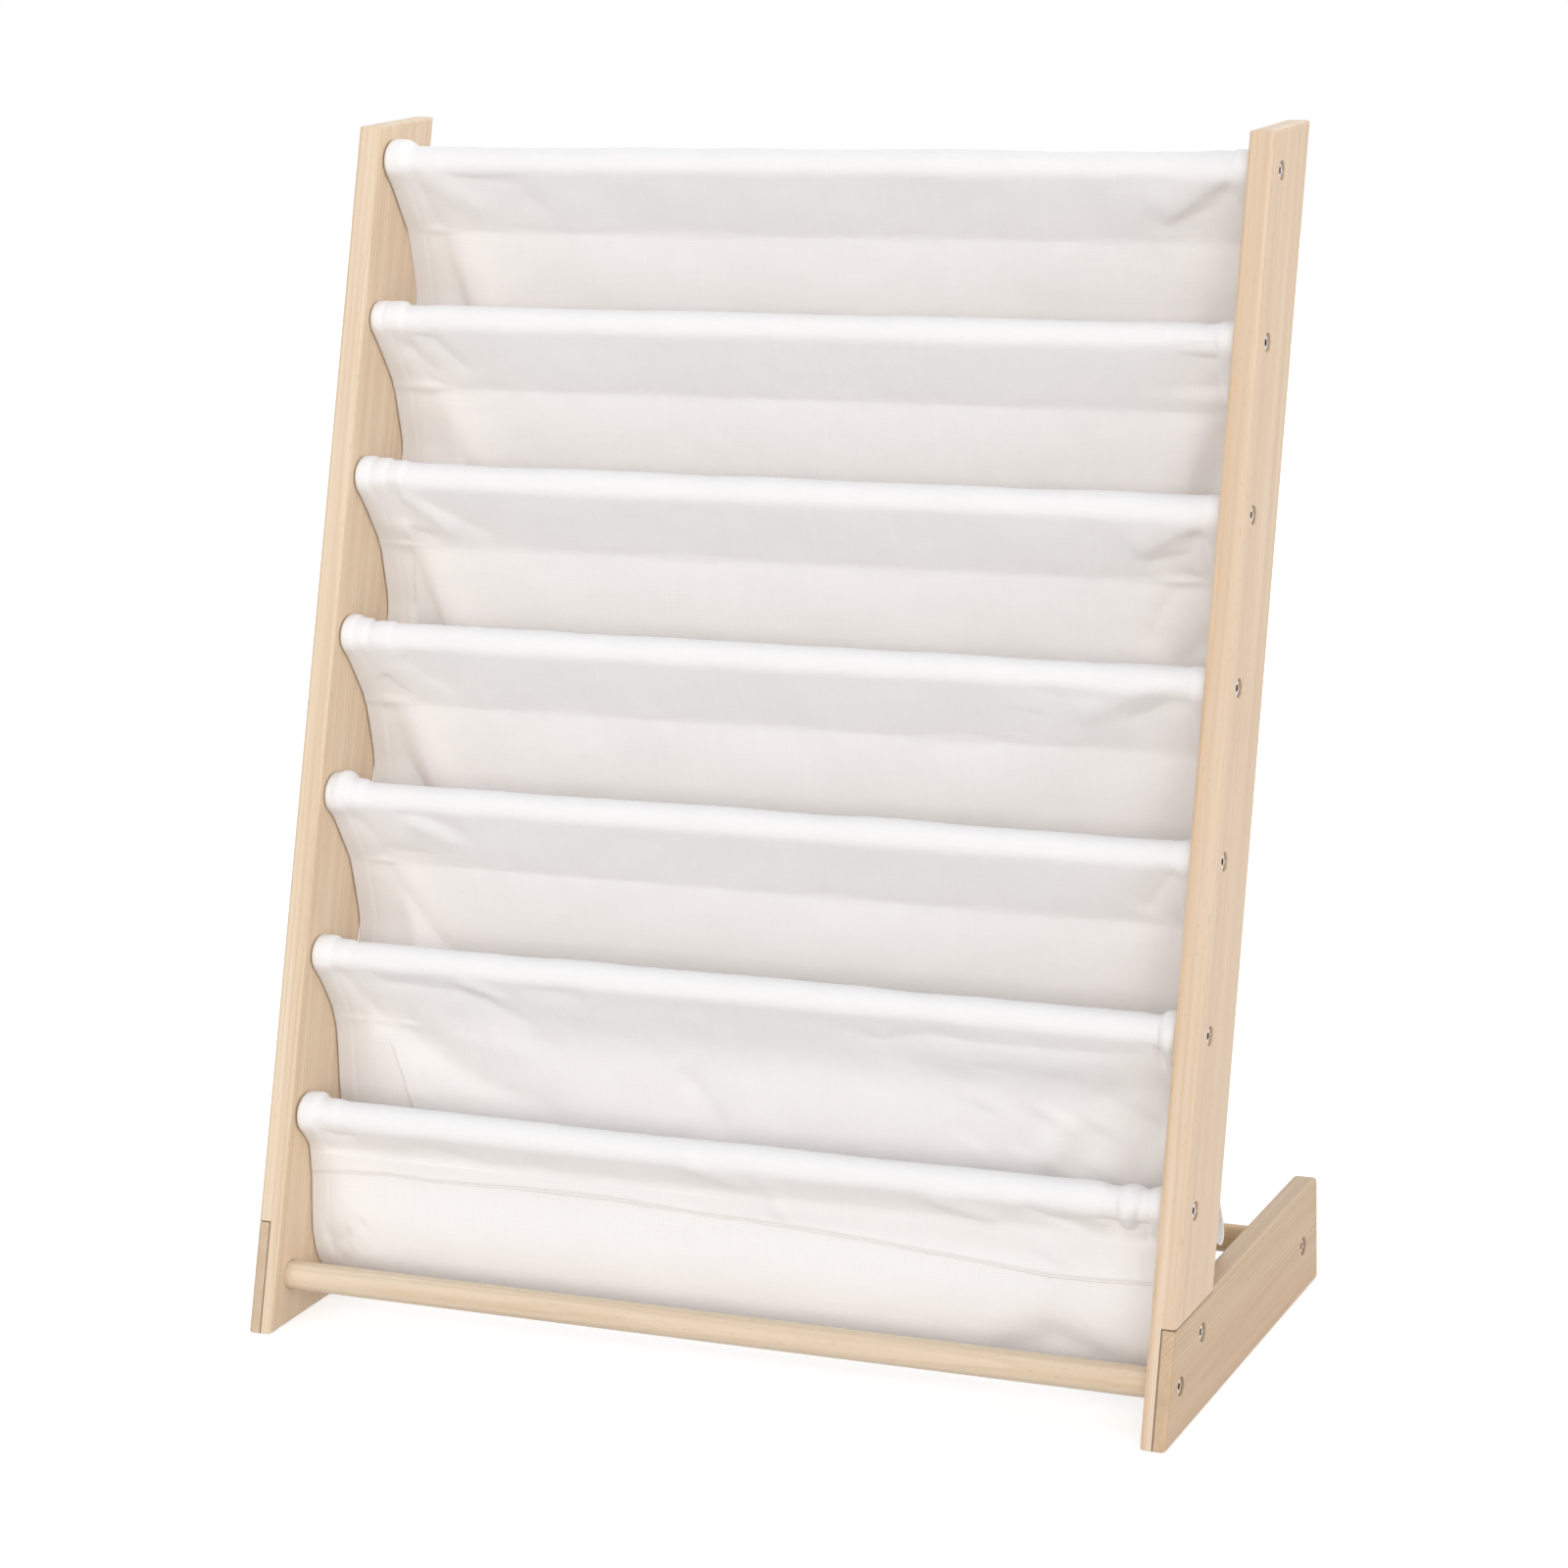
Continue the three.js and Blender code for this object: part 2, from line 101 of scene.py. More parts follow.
def mesh_object(name, points, faces, uv=None, smooth=True):
    """A mesh object at the origin, from an array of points and a list or array of faces."""
    mesh = bpy.data.meshes.new(name)
    mesh.from_pydata([tuple(p) for p in np.asarray(points, float)], [], [tuple(f) for f in faces])
    mesh.update()
    if smooth:
        mesh.shade_smooth()
    if uv is not None:
        layer = mesh.uv_layers.new(name="cloth")
        index = np.empty(len(mesh.loops), dtype=np.int32)
        mesh.loops.foreach_get("vertex_index", index)
        layer.data.foreach_set("uv", np.asarray(uv, np.float32)[index].ravel())
    piece = bpy.data.objects.new(name, mesh)
    bpy.context.scene.collection.objects.link(piece)
    return piece


def grid_faces(rows, columns, closed=False):
    """Quads over a grid of rows by columns; closed joins the last column to the first."""
    row = np.arange(rows - 1)[:, None]
    column = np.arange(columns if closed else columns - 1)[None, :]
    following = (column + 1) % columns
    quads = np.stack([row * columns + column, row * columns + following,
                      (row + 1) * columns + following, (row + 1) * columns + column], axis=-1)
    return quads.reshape(-1, 4)


def add_piece(piece, material, slot_name, *nodes):
    """Gives a piece its finish, hangs it on the root body and hides the nodes it stands for."""
    piece.data.materials.append(material)
    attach(piece, "root")
    if nodes:
        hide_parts(*nodes)
    return piece


# Materials

class Finish:
    """A small helper that adds nodes to a material and joins them."""

    def __init__(self, name):
        self.material = bpy.data.materials.new(name)
        self.material.use_nodes = True
        self.tree = self.material.node_tree
        self.shader = self.tree.nodes["Principled BSDF"]
        self.coordinates = self.tree.nodes.new("ShaderNodeTexCoord")

    def node(self, kind, links=None, **settings):
        made = self.tree.nodes.new(kind)
        for key, value in settings.items():
            if hasattr(made, key):
                setattr(made, key, value)
            else:
                made.inputs[key.replace("_", " ")].default_value = value
        for socket, source in (links or {}).items():
            self.tree.links.new(source, made.inputs[socket])
        return made

    def link(self, source, socket):
        self.tree.links.new(source, self.shader.inputs[socket])

    def math(self, operation, first, second):
        made = self.tree.nodes.new("ShaderNodeMath")
        made.operation = operation
        for socket, value in zip(made.inputs, (first, second)):
            if isinstance(value, (int, float)):
                socket.default_value = value
            else:
                self.tree.links.new(value, socket)
        return made.outputs[0]

    def mix(self, factor, first, second, blend="MIX"):
        made = self.tree.nodes.new("ShaderNodeMix")
        made.data_type = "RGBA"
        made.blend_type = blend
        sockets = made.inputs[0], made.inputs[6], made.inputs[7]
        for socket, value in zip(sockets, (factor, first, second)):
            if isinstance(value, (int, float)):
                socket.default_value = value
            elif isinstance(value, tuple):
                socket.default_value = (*value, 1.0)
            else:
                self.tree.links.new(value, socket)
        return made.outputs[2]

    def mapped(self, source, scale):
        """Coordinates multiplied on each axis."""
        return self.node("ShaderNodeMapping", {"Vector": source}, Scale=scale).outputs[0]

    def noise(self, source, scale, detail):
        made = self.node("ShaderNodeTexNoise", {"Vector": source}, Scale=scale, Detail=detail)
        return made.outputs["Fac"]

    def axes(self, kind="Object"):
        """The three numbers of one kind of coordinates, each on its own."""
        return self.node("ShaderNodeSeparateXYZ", {0: self.coordinates.outputs[kind]}).outputs

    def ramp(self, source, stops):
        made = self.tree.nodes.new("ShaderNodeValToRGB")
        self.tree.links.new(source, made.inputs[0])
        elements = made.color_ramp.elements
        while len(elements) < len(stops):
            elements.new(0.5)
        for element, (place, shade) in zip(elements, stops):
            element.position = place
            element.color = (shade, shade, shade, 1.0)
        return made.outputs[0]

    def bump(self, height, strength, distance):
        made = self.node("ShaderNodeBump", {"Height": height})
        made.inputs["Strength"].default_value = strength
        made.inputs["Distance"].default_value = distance
        self.link(made.outputs[0], "Normal")


def pine(name, turn, shift, tint, resin=None, lapped=False):
    """Pale pine whose growth rings are cylinders round an axis beside the board, wavy along it.

    turn is the Mapping rotation that lays the grain along the mapped Z, shift moves the rings'
    axis, and tint multiplies the colour; besides the wood's own tone it carries painted light and
    shade on some boards and on the rear dowel. resin gives a warm streak's places across at two
    heights, and lapped draws the dark hairline where an upright's half-lap meets its foot, partly
    dirt and partly painted shade of the joint's gap."""
    finish = Finish(name)
    placed = finish.node("ShaderNodeMapping", {"Vector": finish.coordinates.outputs["Object"]},
                         Rotation=turn, Location=shift).outputs[0]
    along = finish.mapped(placed, (9.0, 9.0, 1.6))
    sway = finish.noise(along, 1.3, 3.0)
    centred = finish.node("ShaderNodeVectorMath", {0: sway.node.outputs["Color"]},
                          operation="SUBTRACT")
    centred.inputs[1].default_value = (0.5, 0.5, 0.5)
    scaled = finish.node("ShaderNodeVectorMath", {0: centred.outputs[0]}, operation="MULTIPLY")
    scaled.inputs[1].default_value = (0.016, 0.016, 0.0)
    bent = finish.node("ShaderNodeVectorMath", {0: placed, 1: scaled.outputs[0]}, operation="ADD")
    rings = finish.node("ShaderNodeTexWave", {"Vector": bent.outputs[0]}, wave_type="RINGS",
                        rings_direction="Z", wave_profile="SAW", Scale=120.0, Distortion=0.8,
                        Detail=2.0, Detail_Scale=0.25)
    late = finish.ramp(rings.outputs["Fac"], [(0.0, 0.0), (0.55, 0.12), (0.9, 1.0), (1.0, 0.25)])
    fibre = finish.noise(finish.mapped(placed, (900.0, 900.0, 9.0)), 1.0, 4.0)
    fibre_shade = finish.ramp(fibre, [(0.35, 0.0), (0.7, 1.0)])
    streak = finish.noise(finish.mapped(placed, (130.0, 130.0, 1.9)), 1.0, 3.0)
    streak_shade = finish.ramp(streak, [(0.38, 0.0), (0.68, 1.0)])
    cloudy = finish.noise(placed, 7.0, 2.0)
    patch = finish.noise(along, 2.6, 2.0)
    base = finish.mix(cloudy, (0.81, 0.68, 0.525), (0.755, 0.60, 0.43))
    clearness = finish.ramp(patch, [(0.38, 0.14), (0.66, 0.62)])
    ringed = finish.mix(finish.math("MULTIPLY", late, clearness), base, (0.62, 0.42, 0.25))
    streaked = finish.mix(finish.math("MULTIPLY", streak_shade, 0.5), ringed,
                          (0.64, 0.46, 0.30))
    fibred = finish.mix(finish.math("MULTIPLY", fibre_shade, 0.16), streaked,
                        (0.57, 0.41, 0.27))
    pores = finish.noise(finish.mapped(placed, (1100.0, 1100.0, 170.0)), 1.0, 1.0)
    pored = finish.mix(finish.ramp(pores, [(0.66, 0.0), (0.76, 0.4)]), fibred, (0.40, 0.27, 0.16))
    if resin:
        pored = finish.mix(resin_streak(finish, sway, *resin), pored, (0.70, 0.44, 0.22))
    if lapped:
        # Dark hairline along the lap joint: partly dirt, partly painted shade of its gap.
        pored = finish.mix(lap_dirt_and_shade(finish), pored, (0.20, 0.12, 0.07))
    coloured = finish.mix(1.0, pored, tint, "MULTIPLY")
    finish.link(coloured, "Base Color")
    finish.link(finish.ramp(fibre, [(0.3, 0.42), (0.7, 0.56)]), "Roughness")
    finish.shader.inputs["Specular IOR Level"].default_value = 0.35
    finish.shader.inputs["Coat Weight"].default_value = 0.2
    finish.shader.inputs["Coat Roughness"].default_value = 0.35
    relief = finish.math("ADD", finish.math("MULTIPLY", fibre, 0.5),
                         finish.math("MULTIPLY", late, 0.5))
    finish.bump(relief, 0.22, 0.0002)
    return finish.material


# The dark hairline's width beside the lap's cheek and above its shoulder; the line is partly dirt
# and partly painted shade of the joint's gap
CHEEK_LINE = 0.7
SHOULDER_LINE = 0.9


def lap_dirt_and_shade(finish):
    """1 within a hair of the lap's cheek or shoulder, on the upright's side of the joint, where the
    dark line is painted: partly dirt, partly painted shade.
    """
    axes = finish.axes()
    from_middle = finish.math("ABSOLUTE", axes["X"], 0.0)
    cheek = (SHELF_WIDTH / 2 - BOARD / 2 - CHEEK_LINE) * MM
    shoulder = (FOOT_HEIGHT + SHOULDER_LINE) * MM
    return finish.math("MULTIPLY", finish.math("GREATER_THAN", from_middle, cheek),
                       finish.math("LESS_THAN", axes["Z"], shoulder))


def resin_streak(finish, sway, low, high):
    """A low hump across the board, along a slanting line through two places (x, z) in metres that
    the sway shakes."""
    axes = finish.axes()
    slope = (high[0] - low[0]) / (high[1] - low[1])
    across = finish.math("SUBTRACT", axes["X"], finish.math("MULTIPLY", axes["Z"], slope))
    shaken = finish.math("ADD", across, finish.math("MULTIPLY", sway, 0.004))
    offset = finish.math("SUBTRACT", shaken, low[0] - slope * low[1] + 0.002)
    shares = finish.math("ADD", finish.math("MULTIPLY", offset, 140.0), 0.5)
    return finish.ramp(shares, [(0.2, 0.0), (0.46, 0.26), (0.56, 0.22), (0.85, 0.0)])


def zinced_steel():
    """Bright zinc plating with a slightly uneven sheen; below the head's top, in the socket and
    round the head's side, the colour is nearly black as painted shade.
    """
    finish = Finish("zinced_steel")
    from_middle = finish.math("ABSOLUTE", finish.axes()["X"], 0.0)
    face = (SHELF_WIDTH / 2 - SCREW_SINK) * MM
    # Painted shade: all that lies below the head's top is coloured nearly black.
    sunk_shade = finish.math("LESS_THAN", from_middle, face - 0.0001)
    cloudy = finish.noise(finish.coordinates.outputs["Object"], 350.0, 3.0)
    plated = finish.mix(cloudy, (0.86, 0.86, 0.86), (0.72, 0.72, 0.72))
    finish.link(finish.mix(sunk_shade, plated, (0.16, 0.155, 0.15)), "Base Color")
    finish.link(finish.ramp(cloudy, [(0.3, 0.24), (0.7, 0.4)]), "Roughness")
    finish.shader.inputs["Metallic"].default_value = 1.0
    finish.bump(cloudy, 0.15, 0.0001)
    return finish.material


# In metres: the canvas threads' spacing, half a sewing thread's width, the stitches' spacing and
# their row's distance from the seam. STITCH_SHOWS is the sine above which a stitch shows
THREAD = 0.00075
HALF_STITCH = 0.0004
STITCH_PITCH = 0.003
SEAM_STITCH = 0.0014
STITCH_SHOWS = -0.45

# A Wave texture of scale 1 repeats every 0.31416 units, and a plain weave every two threads
WAVE_PERIOD = 0.31416


def stitches(finish, across, along_row):
    """1 on the threads of a sewn row: within half a thread's width of it, and where a sine along it
    is high."""
    on_row = finish.math("LESS_THAN", finish.math("ABSOLUTE", across, 0.0), HALF_STITCH)
    wave = finish.math("SINE", finish.math("MULTIPLY", along_row, 2 * pi / STITCH_PITCH), 0.0)
    return finish.math("MULTIPLY", on_row, finish.math("GREATER_THAN", wave, STITCH_SHOWS))


def canvas(name, hem_shaded=False):
    """Plain-woven white cotton: the higher of the warp's and the weft's waves, with thicker threads
    here and there. The cloth's own map gives metres across and down it, so the weave follows the
    folds. The hem-shaded kind paints a thin dark line along the stitch row by the sewn edge:
    painted shade, the shadow of that edge."""
    finish = Finish(name)
    uv = finish.coordinates.outputs["UV"]
    ridges = []
    for direction in ("X", "Y"):
        ridges.append(finish.node("ShaderNodeTexWave", {"Vector": uv}, wave_type="BANDS",
                                  bands_direction=direction, Scale=WAVE_PERIOD / THREAD / 2,
                                  Distortion=0.6, Detail=1.0).outputs["Fac"])
    weave = finish.math("MAXIMUM", ridges[0], ridges[1])
    slubs = []
    for scale in ((18.0, 1100.0, 1.0), (1100.0, 18.0, 1.0)):
        slubs.append(finish.noise(finish.mapped(uv, scale), 1.0, 2.0))
    threads = finish.math("ADD", finish.math("MULTIPLY", slubs[0], 0.5),
                          finish.math("MULTIPLY", slubs[1], 0.5))
    thread_shade = finish.ramp(threads, [(0.35, 0.0), (0.65, 1.0)])
    base = finish.mix(finish.noise(uv, 11.0, 3.0), (0.905, 0.871, 0.85), (0.88, 0.842, 0.82))
    threaded = finish.mix(finish.math("MULTIPLY", thread_shade, 0.22), base, (0.80, 0.754, 0.714))
    woven = finish.mix(finish.math("MULTIPLY", weave, 0.10), threaded, (0.96, 0.95, 0.94))
    across, down = finish.axes("UV")[:2]
    if hem_shaded:
        # Painted shade: a thin dark line along the stitch row by the lowest sleeve's sewn edge, the
        # shadow of that edge.
        from_seam = finish.math("ABSOLUTE", down, 0.0)
        hem_shadow = finish.ramp(finish.math("MULTIPLY", from_seam, 500.0), [(0.2, 0.5), (0.6, 0.0)])
        woven = finish.mix(hem_shadow, woven, (0.69, 0.63, 0.59))
    finish.link(woven, "Base Color")
    finish.link(finish.ramp(threads, [(0.3, 0.84), (0.7, 0.94)]), "Roughness")
    finish.shader.inputs["Specular IOR Level"].default_value = 0.2
    finish.shader.inputs["Sheen Weight"].default_value = 0.12
    finish.shader.inputs["Sheen Roughness"].default_value = 0.6
    relief = finish.math("ADD", finish.math("MULTIPLY", weave, 0.55),
                         finish.math("MULTIPLY", threads, 0.8))
    beside_seam = finish.math("ADD", down, SEAM_STITCH)
    from_middle = finish.math("ABSOLUTE", across, 0.0)
    beside_hem = finish.math("SUBTRACT", from_middle, (CLOTH_HALF - HEM_WIDTH) * MM + SEAM_STITCH)
    sewn = finish.math("MAXIMUM", stitches(finish, beside_seam, across),
                       stitches(finish, beside_hem, down))
    finish.bump(finish.math("ADD", relief, finish.math("MULTIPLY", sewn, 1.6)), 0.35, 0.0003)
    return finish.material


# Boards

RESIN = ((0.2862, 0.0), (0.2885, 0.72))


def dress_boards():
    """The boards keep their solids, each with the grain along it."""
    leaning = (LEAN, 0.0, 0.0)
    level = (radians(90.0), 0.0, 0.0)
    # The tints are partly each board's own tone and partly painted light: the left upright is paler
    # as a painted highlight, the right upright darker as painted shade, and the feet darker still
    # as painted shade near the floor.
    boards = {
        "upright_right": (leaning, (-0.335, 0.05, 0.11), (0.95, 0.90, 0.87)),
        "upright_left": (leaning, (0.345, 0.07, 0.43), (1.0, 0.975, 0.95)),
        "foot_right": (level, (-0.33, 0.02, 0.27), (0.75, 0.66, 0.56)),
        "foot_left": (level, (0.33, 0.01, 0.61), (0.80, 0.74, 0.68)),
    }
    for node, (turn, shift, tint) in boards.items():
        finish = pine("pine_" + node, turn, shift, tint, RESIN if node == "upright_right" else None,
                      node.startswith("upright"))
        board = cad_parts[node]
        board.data.materials.clear()
        board.data.materials.append(finish)


# Dowels

def dowel_points(axis):
    """A round bar along X with chamfered ends: a circle carried along a short list of stations."""
    chamfer, end_stretch = 0.8, 6.0
    stations = [(-DOWEL_HALF, 0.0), (-DOWEL_HALF, DOWEL_RADIUS - chamfer),
                (chamfer - DOWEL_HALF, DOWEL_RADIUS)]
    middle = np.linspace(-DOWEL_HALF + end_stretch, DOWEL_HALF - end_stretch, 24)
    stations += [(x, DOWEL_RADIUS) for x in middle]
    stations += [(-x, radius) for x, radius in reversed(stations[:3])]
    sides = 64
    angle = np.arange(sides) * 2 * pi / sides
    x, radius = np.array(stations).T
    y = axis[0] + radius[:, None] * np.cos(angle)
    z = axis[1] + radius[:, None] * np.sin(angle)
    y, z = to_frame(y, z)
    points = np.stack([np.broadcast_to(x[:, None] * MM, y.shape), y, z], axis=-1).reshape(-1, 3)
    return points, len(stations), sides


def finish_closed(piece):
    """Merges the doubled points at the poles and turns the faces outwards."""
    work = bmesh.new()
    work.from_mesh(piece.data)
    bmesh.ops.remove_doubles(work, verts=work.verts, dist=1e-6)
    bmesh.ops.recalc_face_normals(work, faces=work.faces)
    work.to_mesh(piece.data)
    work.free()


def add_dowels():
    rows = {"dowel_bare": front_dowel(0), "dowel_rear": np.array(REAR_DOWEL)}
    rows.update({f"dowel_slung_{n}": front_dowel(n) for n in range(1, SLUNG + 1)})
    for count, (node, axis) in enumerate(rows.items()):
        shift = (0.31 * count, -0.012 * count, 0.05)
        # The rear dowel's warmer, darker tint is painted shade: the warm shade it lies in behind
        # the cloth.
        tint = (0.98, 0.84, 0.66) if node == "dowel_rear" else (1.02, 1.02, 1.02)
        finish = pine("pine_" + node, (0.0, radians(90.0), 0.0), shift, tint)
        points, stations, sides = dowel_points(axis)
        piece = mesh_object(node.replace("dowel", "rod"), points, grid_faces(stations, sides, True))
        finish_closed(piece)
        piece.data.set_sharp_from_angle(angle=radians(40.0))
        add_piece(piece, finish, "pine_dowel", node)


# Screws

def bolt_points(length):
    """A flat-headed screw along -X, each ring a blend of a hexagon and a circle.

    The hexagon's radius at an angle is its half width over the cosine of the angle from the middle
    of the nearest flat; rings run from the socket's floor, up its wall, over the head and down the
    shank."""
    head, shank, across, depth = 5.0, 2.5, 4.0, 2.0
    rings = [(0.0, 1.0, -depth), (1.0, 1.0, -depth), (1.0, 1.0, -0.15), (1.07, 1.0, 0.0),
             (head - 0.45, 0.0, 0.0), (head - 0.12, 0.0, -0.12), (head, 0.0, -0.42),
             (head, 0.0, -0.9), (shank, 0.0, -3.5), (shank, 0.0, 4.0 - length), (0.0, 0.0, -length)]
    sides = 48
    angle = np.arange(sides) * 2 * pi / sides
    hexagon = across / 2 / np.cos((angle + pi / 6) % (pi / 3) - pi / 6)
    size, share, x = np.array(rings).T
    radius = size[:, None] * (share[:, None] * hexagon + (1 - share[:, None]))
    x = np.broadcast_to(x[:, None], radius.shape)
    return x, radius * np.cos(angle), radius * np.sin(angle), len(rings), sides


def add_screws():
    steel = zinced_steel()
    places = {f"screw_front_{n}": (front_dowel(n), DOWEL_SCREW) for n in range(SLUNG + 1)}
    places["screw_rear"] = (REAR_DOWEL, DOWEL_SCREW)
    places["screw_lap"] = (LAP_SCREW, LAP_SCREW_LENGTH)
    turns = np.random.default_rng(5)
    for name, (axis, length) in places.items():
        for side, word in ((1, "right"), (-1, "left")):
            x, across, up, rows, sides = bolt_points(length)
            turn = turns.uniform(0, pi / 3)
            y, z = to_frame(axis[0] + across * cos(turn) - up * sin(turn),
                            axis[1] + across * sin(turn) + up * cos(turn))
            x = side * (SHELF_WIDTH / 2 - SCREW_SINK + x) * MM
            points = np.stack([x, y, z], axis=-1).reshape(-1, 3)
            piece = mesh_object(name.replace("screw", "bolt") + "_" + word, points,
                                grid_faces(rows, sides, True))
            finish_closed(piece)
            piece.data.set_sharp_from_angle(angle=radians(35.0))
            add_piece(piece, steel, "zinc_screw", f"{name}_{word}")


# Canvas

CLOTH_THICKNESS = 0.7
CROWN_RADIUS = 10.2
LEAST_CROWN = 9.5
HEM_WIDTH = 11.0

# Side-view offsets: the lowest flank's bend from its dowel, how far the next layer runs up inside
# the lowest sleeve, and the end of that sleeve's drawn line from its foot
LOW_FLANK_BEND = (1.5, -20.0)
HEM_OVERHANG = 12.0
HEM_TAIL = (-2.0, -15.0)

# The crown's top is sought within this distance of a line's start
SLEEVE_SPAN = 120.0

# Softening of the drawn lines, as the reach of the bell in points; SOFT_TIERS are softened more,
# which sets in between two places along s
DRAWN_SOFTNESS = 5
EXTRA_SOFTNESS = 45
SOFT_TIERS = (1, 2)
SOFTER_FROM = (20.0, 45.0)

# The middle of a pocket hangs this much lower than its ends, and one tier flares at its right end:
# its way back and down, and its reach across and along
BELLY_DROP = 5.0
FLARED_TIER = 3
FLARE = 28.0
FLARE_SAG = 9.0
FLARE_REACH = 60.0
FLARE_SPREAD = 30.0

# The folds' tables are multiplied by these; a crease's rounded tip is a share of its width
FOLD_DEPTH = 0.8
FOLD_WIDTH = 1.25
TIP_SHARE = 0.3

# How far a tier may dip at its seam, how much further with each millimetre from it, within which
# reach, and how softly that is held; the lowest sleeve is held all along the layer inside it
SEAM_DIP = 0.4
HEM_DIP = 0.1
DIP_GROWTH = 0.5
SEAM_REACH = 30.0
SEAM_SLACK = 0.5

# The relief dies out within these distances of the lowest fold and of the side-view line's ends
TURN_CALM = 25.0
END_CALM = 14.0

# Columns across the cloth, and rows as shares of its line: each stretch's ends and its steps
COLUMNS = [(-CLOTH_HALF, -226.0, 52), (-226.0, 226.0, 144), (226.0, CLOTH_HALF, 52)]
ROWS = {1: [(0.0, 0.33, 20), (0.33, 1.0, 130)],
        2: [(0.0, 0.1, 14), (0.1, 0.47, 84), (0.47, 0.74, 30), (0.74, 1.0, 54)]}
PLAIN_ROWS = [(0.0, 0.09, 14), (0.09, 0.42, 100), (0.42, 1.0, 74)]


def seam(number):
    """Where a tier's front flank is sewn, as an offset from its dowel."""
    return front_dowel(number) + np.array(LOW_SEAM if number == 1 else SEAM)


def shares(table, number):
    """A pocket table's points, each its shares times the pitch away from the dowel."""
    return front_dowel(number) + np.array(table) * PITCH


def sleeve_line(number):
    """The sleeve's path: the tangent from its rear foot to a circle round the dowel, the arc over
    the top, and the tangent down to its front foot. The lowest one's flank bends half way down and
    then hangs nearly straight."""
    axis = front_dowel(number)
    foot = seam(number)
    rear_foot = foot + np.array([LAYER_SHIFT, 0.0])
    front_foot = foot - np.array([LAYER_SHIFT, 0.0])

    def tangent(point, side):
        away = point - axis
        angle = np.arctan2(away[1], away[0]) + side * np.arccos(CROWN_RADIUS / np.hypot(*away))
        return angle % (2 * pi)

    front_aim = axis + np.array(LOW_FLANK_BEND) if number == 1 else front_foot
    rear, front = tangent(rear_foot, 1), tangent(front_aim, -1)
    if rear > front:
        rear -= 2 * pi
    angle = np.linspace(rear, front, 40)[:, None]
    crown = axis + CROWN_RADIUS * np.hstack([np.cos(angle), np.sin(angle)])
    return np.vstack([rear_foot, crown, front_aim, front_foot])


def hanging_line(number):
    """Pocket `number`: from under the seam above, down its back, round and up its front."""
    end = seam(number) + np.array([LAYER_SHIFT, 0.0])
    if number == 1:
        inside = seam(1) + np.array([-0.3, HEM_OVERHANG])
        drawn = [shares(table, 1) for table in (LOW_BACK, LOW_TURN, LOW_FRONT)]
        return np.vstack([*drawn, end, inside])
    below = shares(POCKET_BACK[:3], number - 1) + np.array([LAYER_STEP, 0.0])
    return np.vstack([shares(POCKET_BACK, number), shares(POCKET_TURN, number), below[::-1], end])


def spline(points, steps=24):
    """Catmull-Rom through the points, each span a cubic blend of its four nearest."""
    p = np.vstack([2 * points[0] - points[1], points, 2 * points[-1] - points[-2]])
    t = np.linspace(0, 1, steps, endpoint=False)[:, None]
    spans = []
    for a, b, c, d in zip(p[:-3], p[1:-2], p[2:-1], p[3:]):
        spans.append(0.5 * (2 * b + (c - a) * t + (2 * a - 5 * b + 4 * c - d) * t ** 2
                            + (3 * b - a - 3 * c + d) * t ** 3))
    return np.vstack([*spans, points[-1:]])


def along(points):
    """The distance of each point from the line's start."""
    return np.concatenate([[0.0], np.cumsum(np.hypot(*np.diff(points, axis=0).T))])


def even(points, count=1600):
    """The same line with count points an even distance apart."""
    length = along(points)
    at = np.linspace(0, length[-1], count)
    return np.stack([np.interp(at, length, points[:, i]) for i in (0, 1)], axis=-1)


def softened(points, reach):
    """Each point averaged with its neighbours by a bell curve; the ends stay."""
    offsets = np.arange(-3 * reach, 3 * reach + 1)
    weights = np.exp(-0.5 * (offsets / reach) ** 2)
    weights /= weights.sum()
    padded = np.vstack([2 * points[0] - points[3 * reach:0:-1], points,
                        2 * points[-1] - points[-2:-3 * reach - 2:-1]])
    return np.stack([np.convolve(padded[:, i], weights, mode="valid") for i in (0, 1)], axis=-1)


def tier_line(number):
    """One tier's cloth in the side view: its points, their distance s from the crown's top down the
    front, and s where the front flank meets its seam and where the line is lowest."""
    sleeve = sleeve_line(number)
    foot = sleeve[-1]
    if number > 1:
        tail = spline(np.vstack([foot, hanging_line(number - 1)]))[1:]
    else:
        tail = np.vstack([foot + np.array(HEM_TAIL)])
    drawn = even(np.vstack([sleeve, tail]))
    line = softened(drawn, DRAWN_SOFTNESS)
    s = along(line)
    s -= s[np.argmax(np.where(s < SLEEVE_SPAN, line[:, 1], -1e9))]
    if number in SOFT_TIERS:
        line += step_up(s, *SOFTER_FROM)[:, None] * (softened(drawn, EXTRA_SOFTNESS) - line)
    front = s > SOFTER_FROM[0]
    seam_s = s[front][np.argmin(np.hypot(*(line[front] - foot).T))]
    return line, s, seam_s, s[np.argmin(line[:, 1])]


def stretches(table, start=0.0, span=1.0):
    """Even steps within each stretch of a table, each stretch as dense as its own count says."""
    parts = [np.linspace(low, high, count, endpoint=False) for low, high, count in table]
    return start + span * np.concatenate([*parts, [table[-1][1]]])


def step_up(value, low, high):
    """0 up to low and 1 from high; between them three squares less two cubes of the share."""
    t = np.clip((value - low) / (high - low), 0, 1)
    return t * t * (3 - 2 * t)


def bell(value, centre, width):
    """e to the minus square of the distance from the centre over the width."""
    return np.exp(-((value - centre) / width) ** 2)


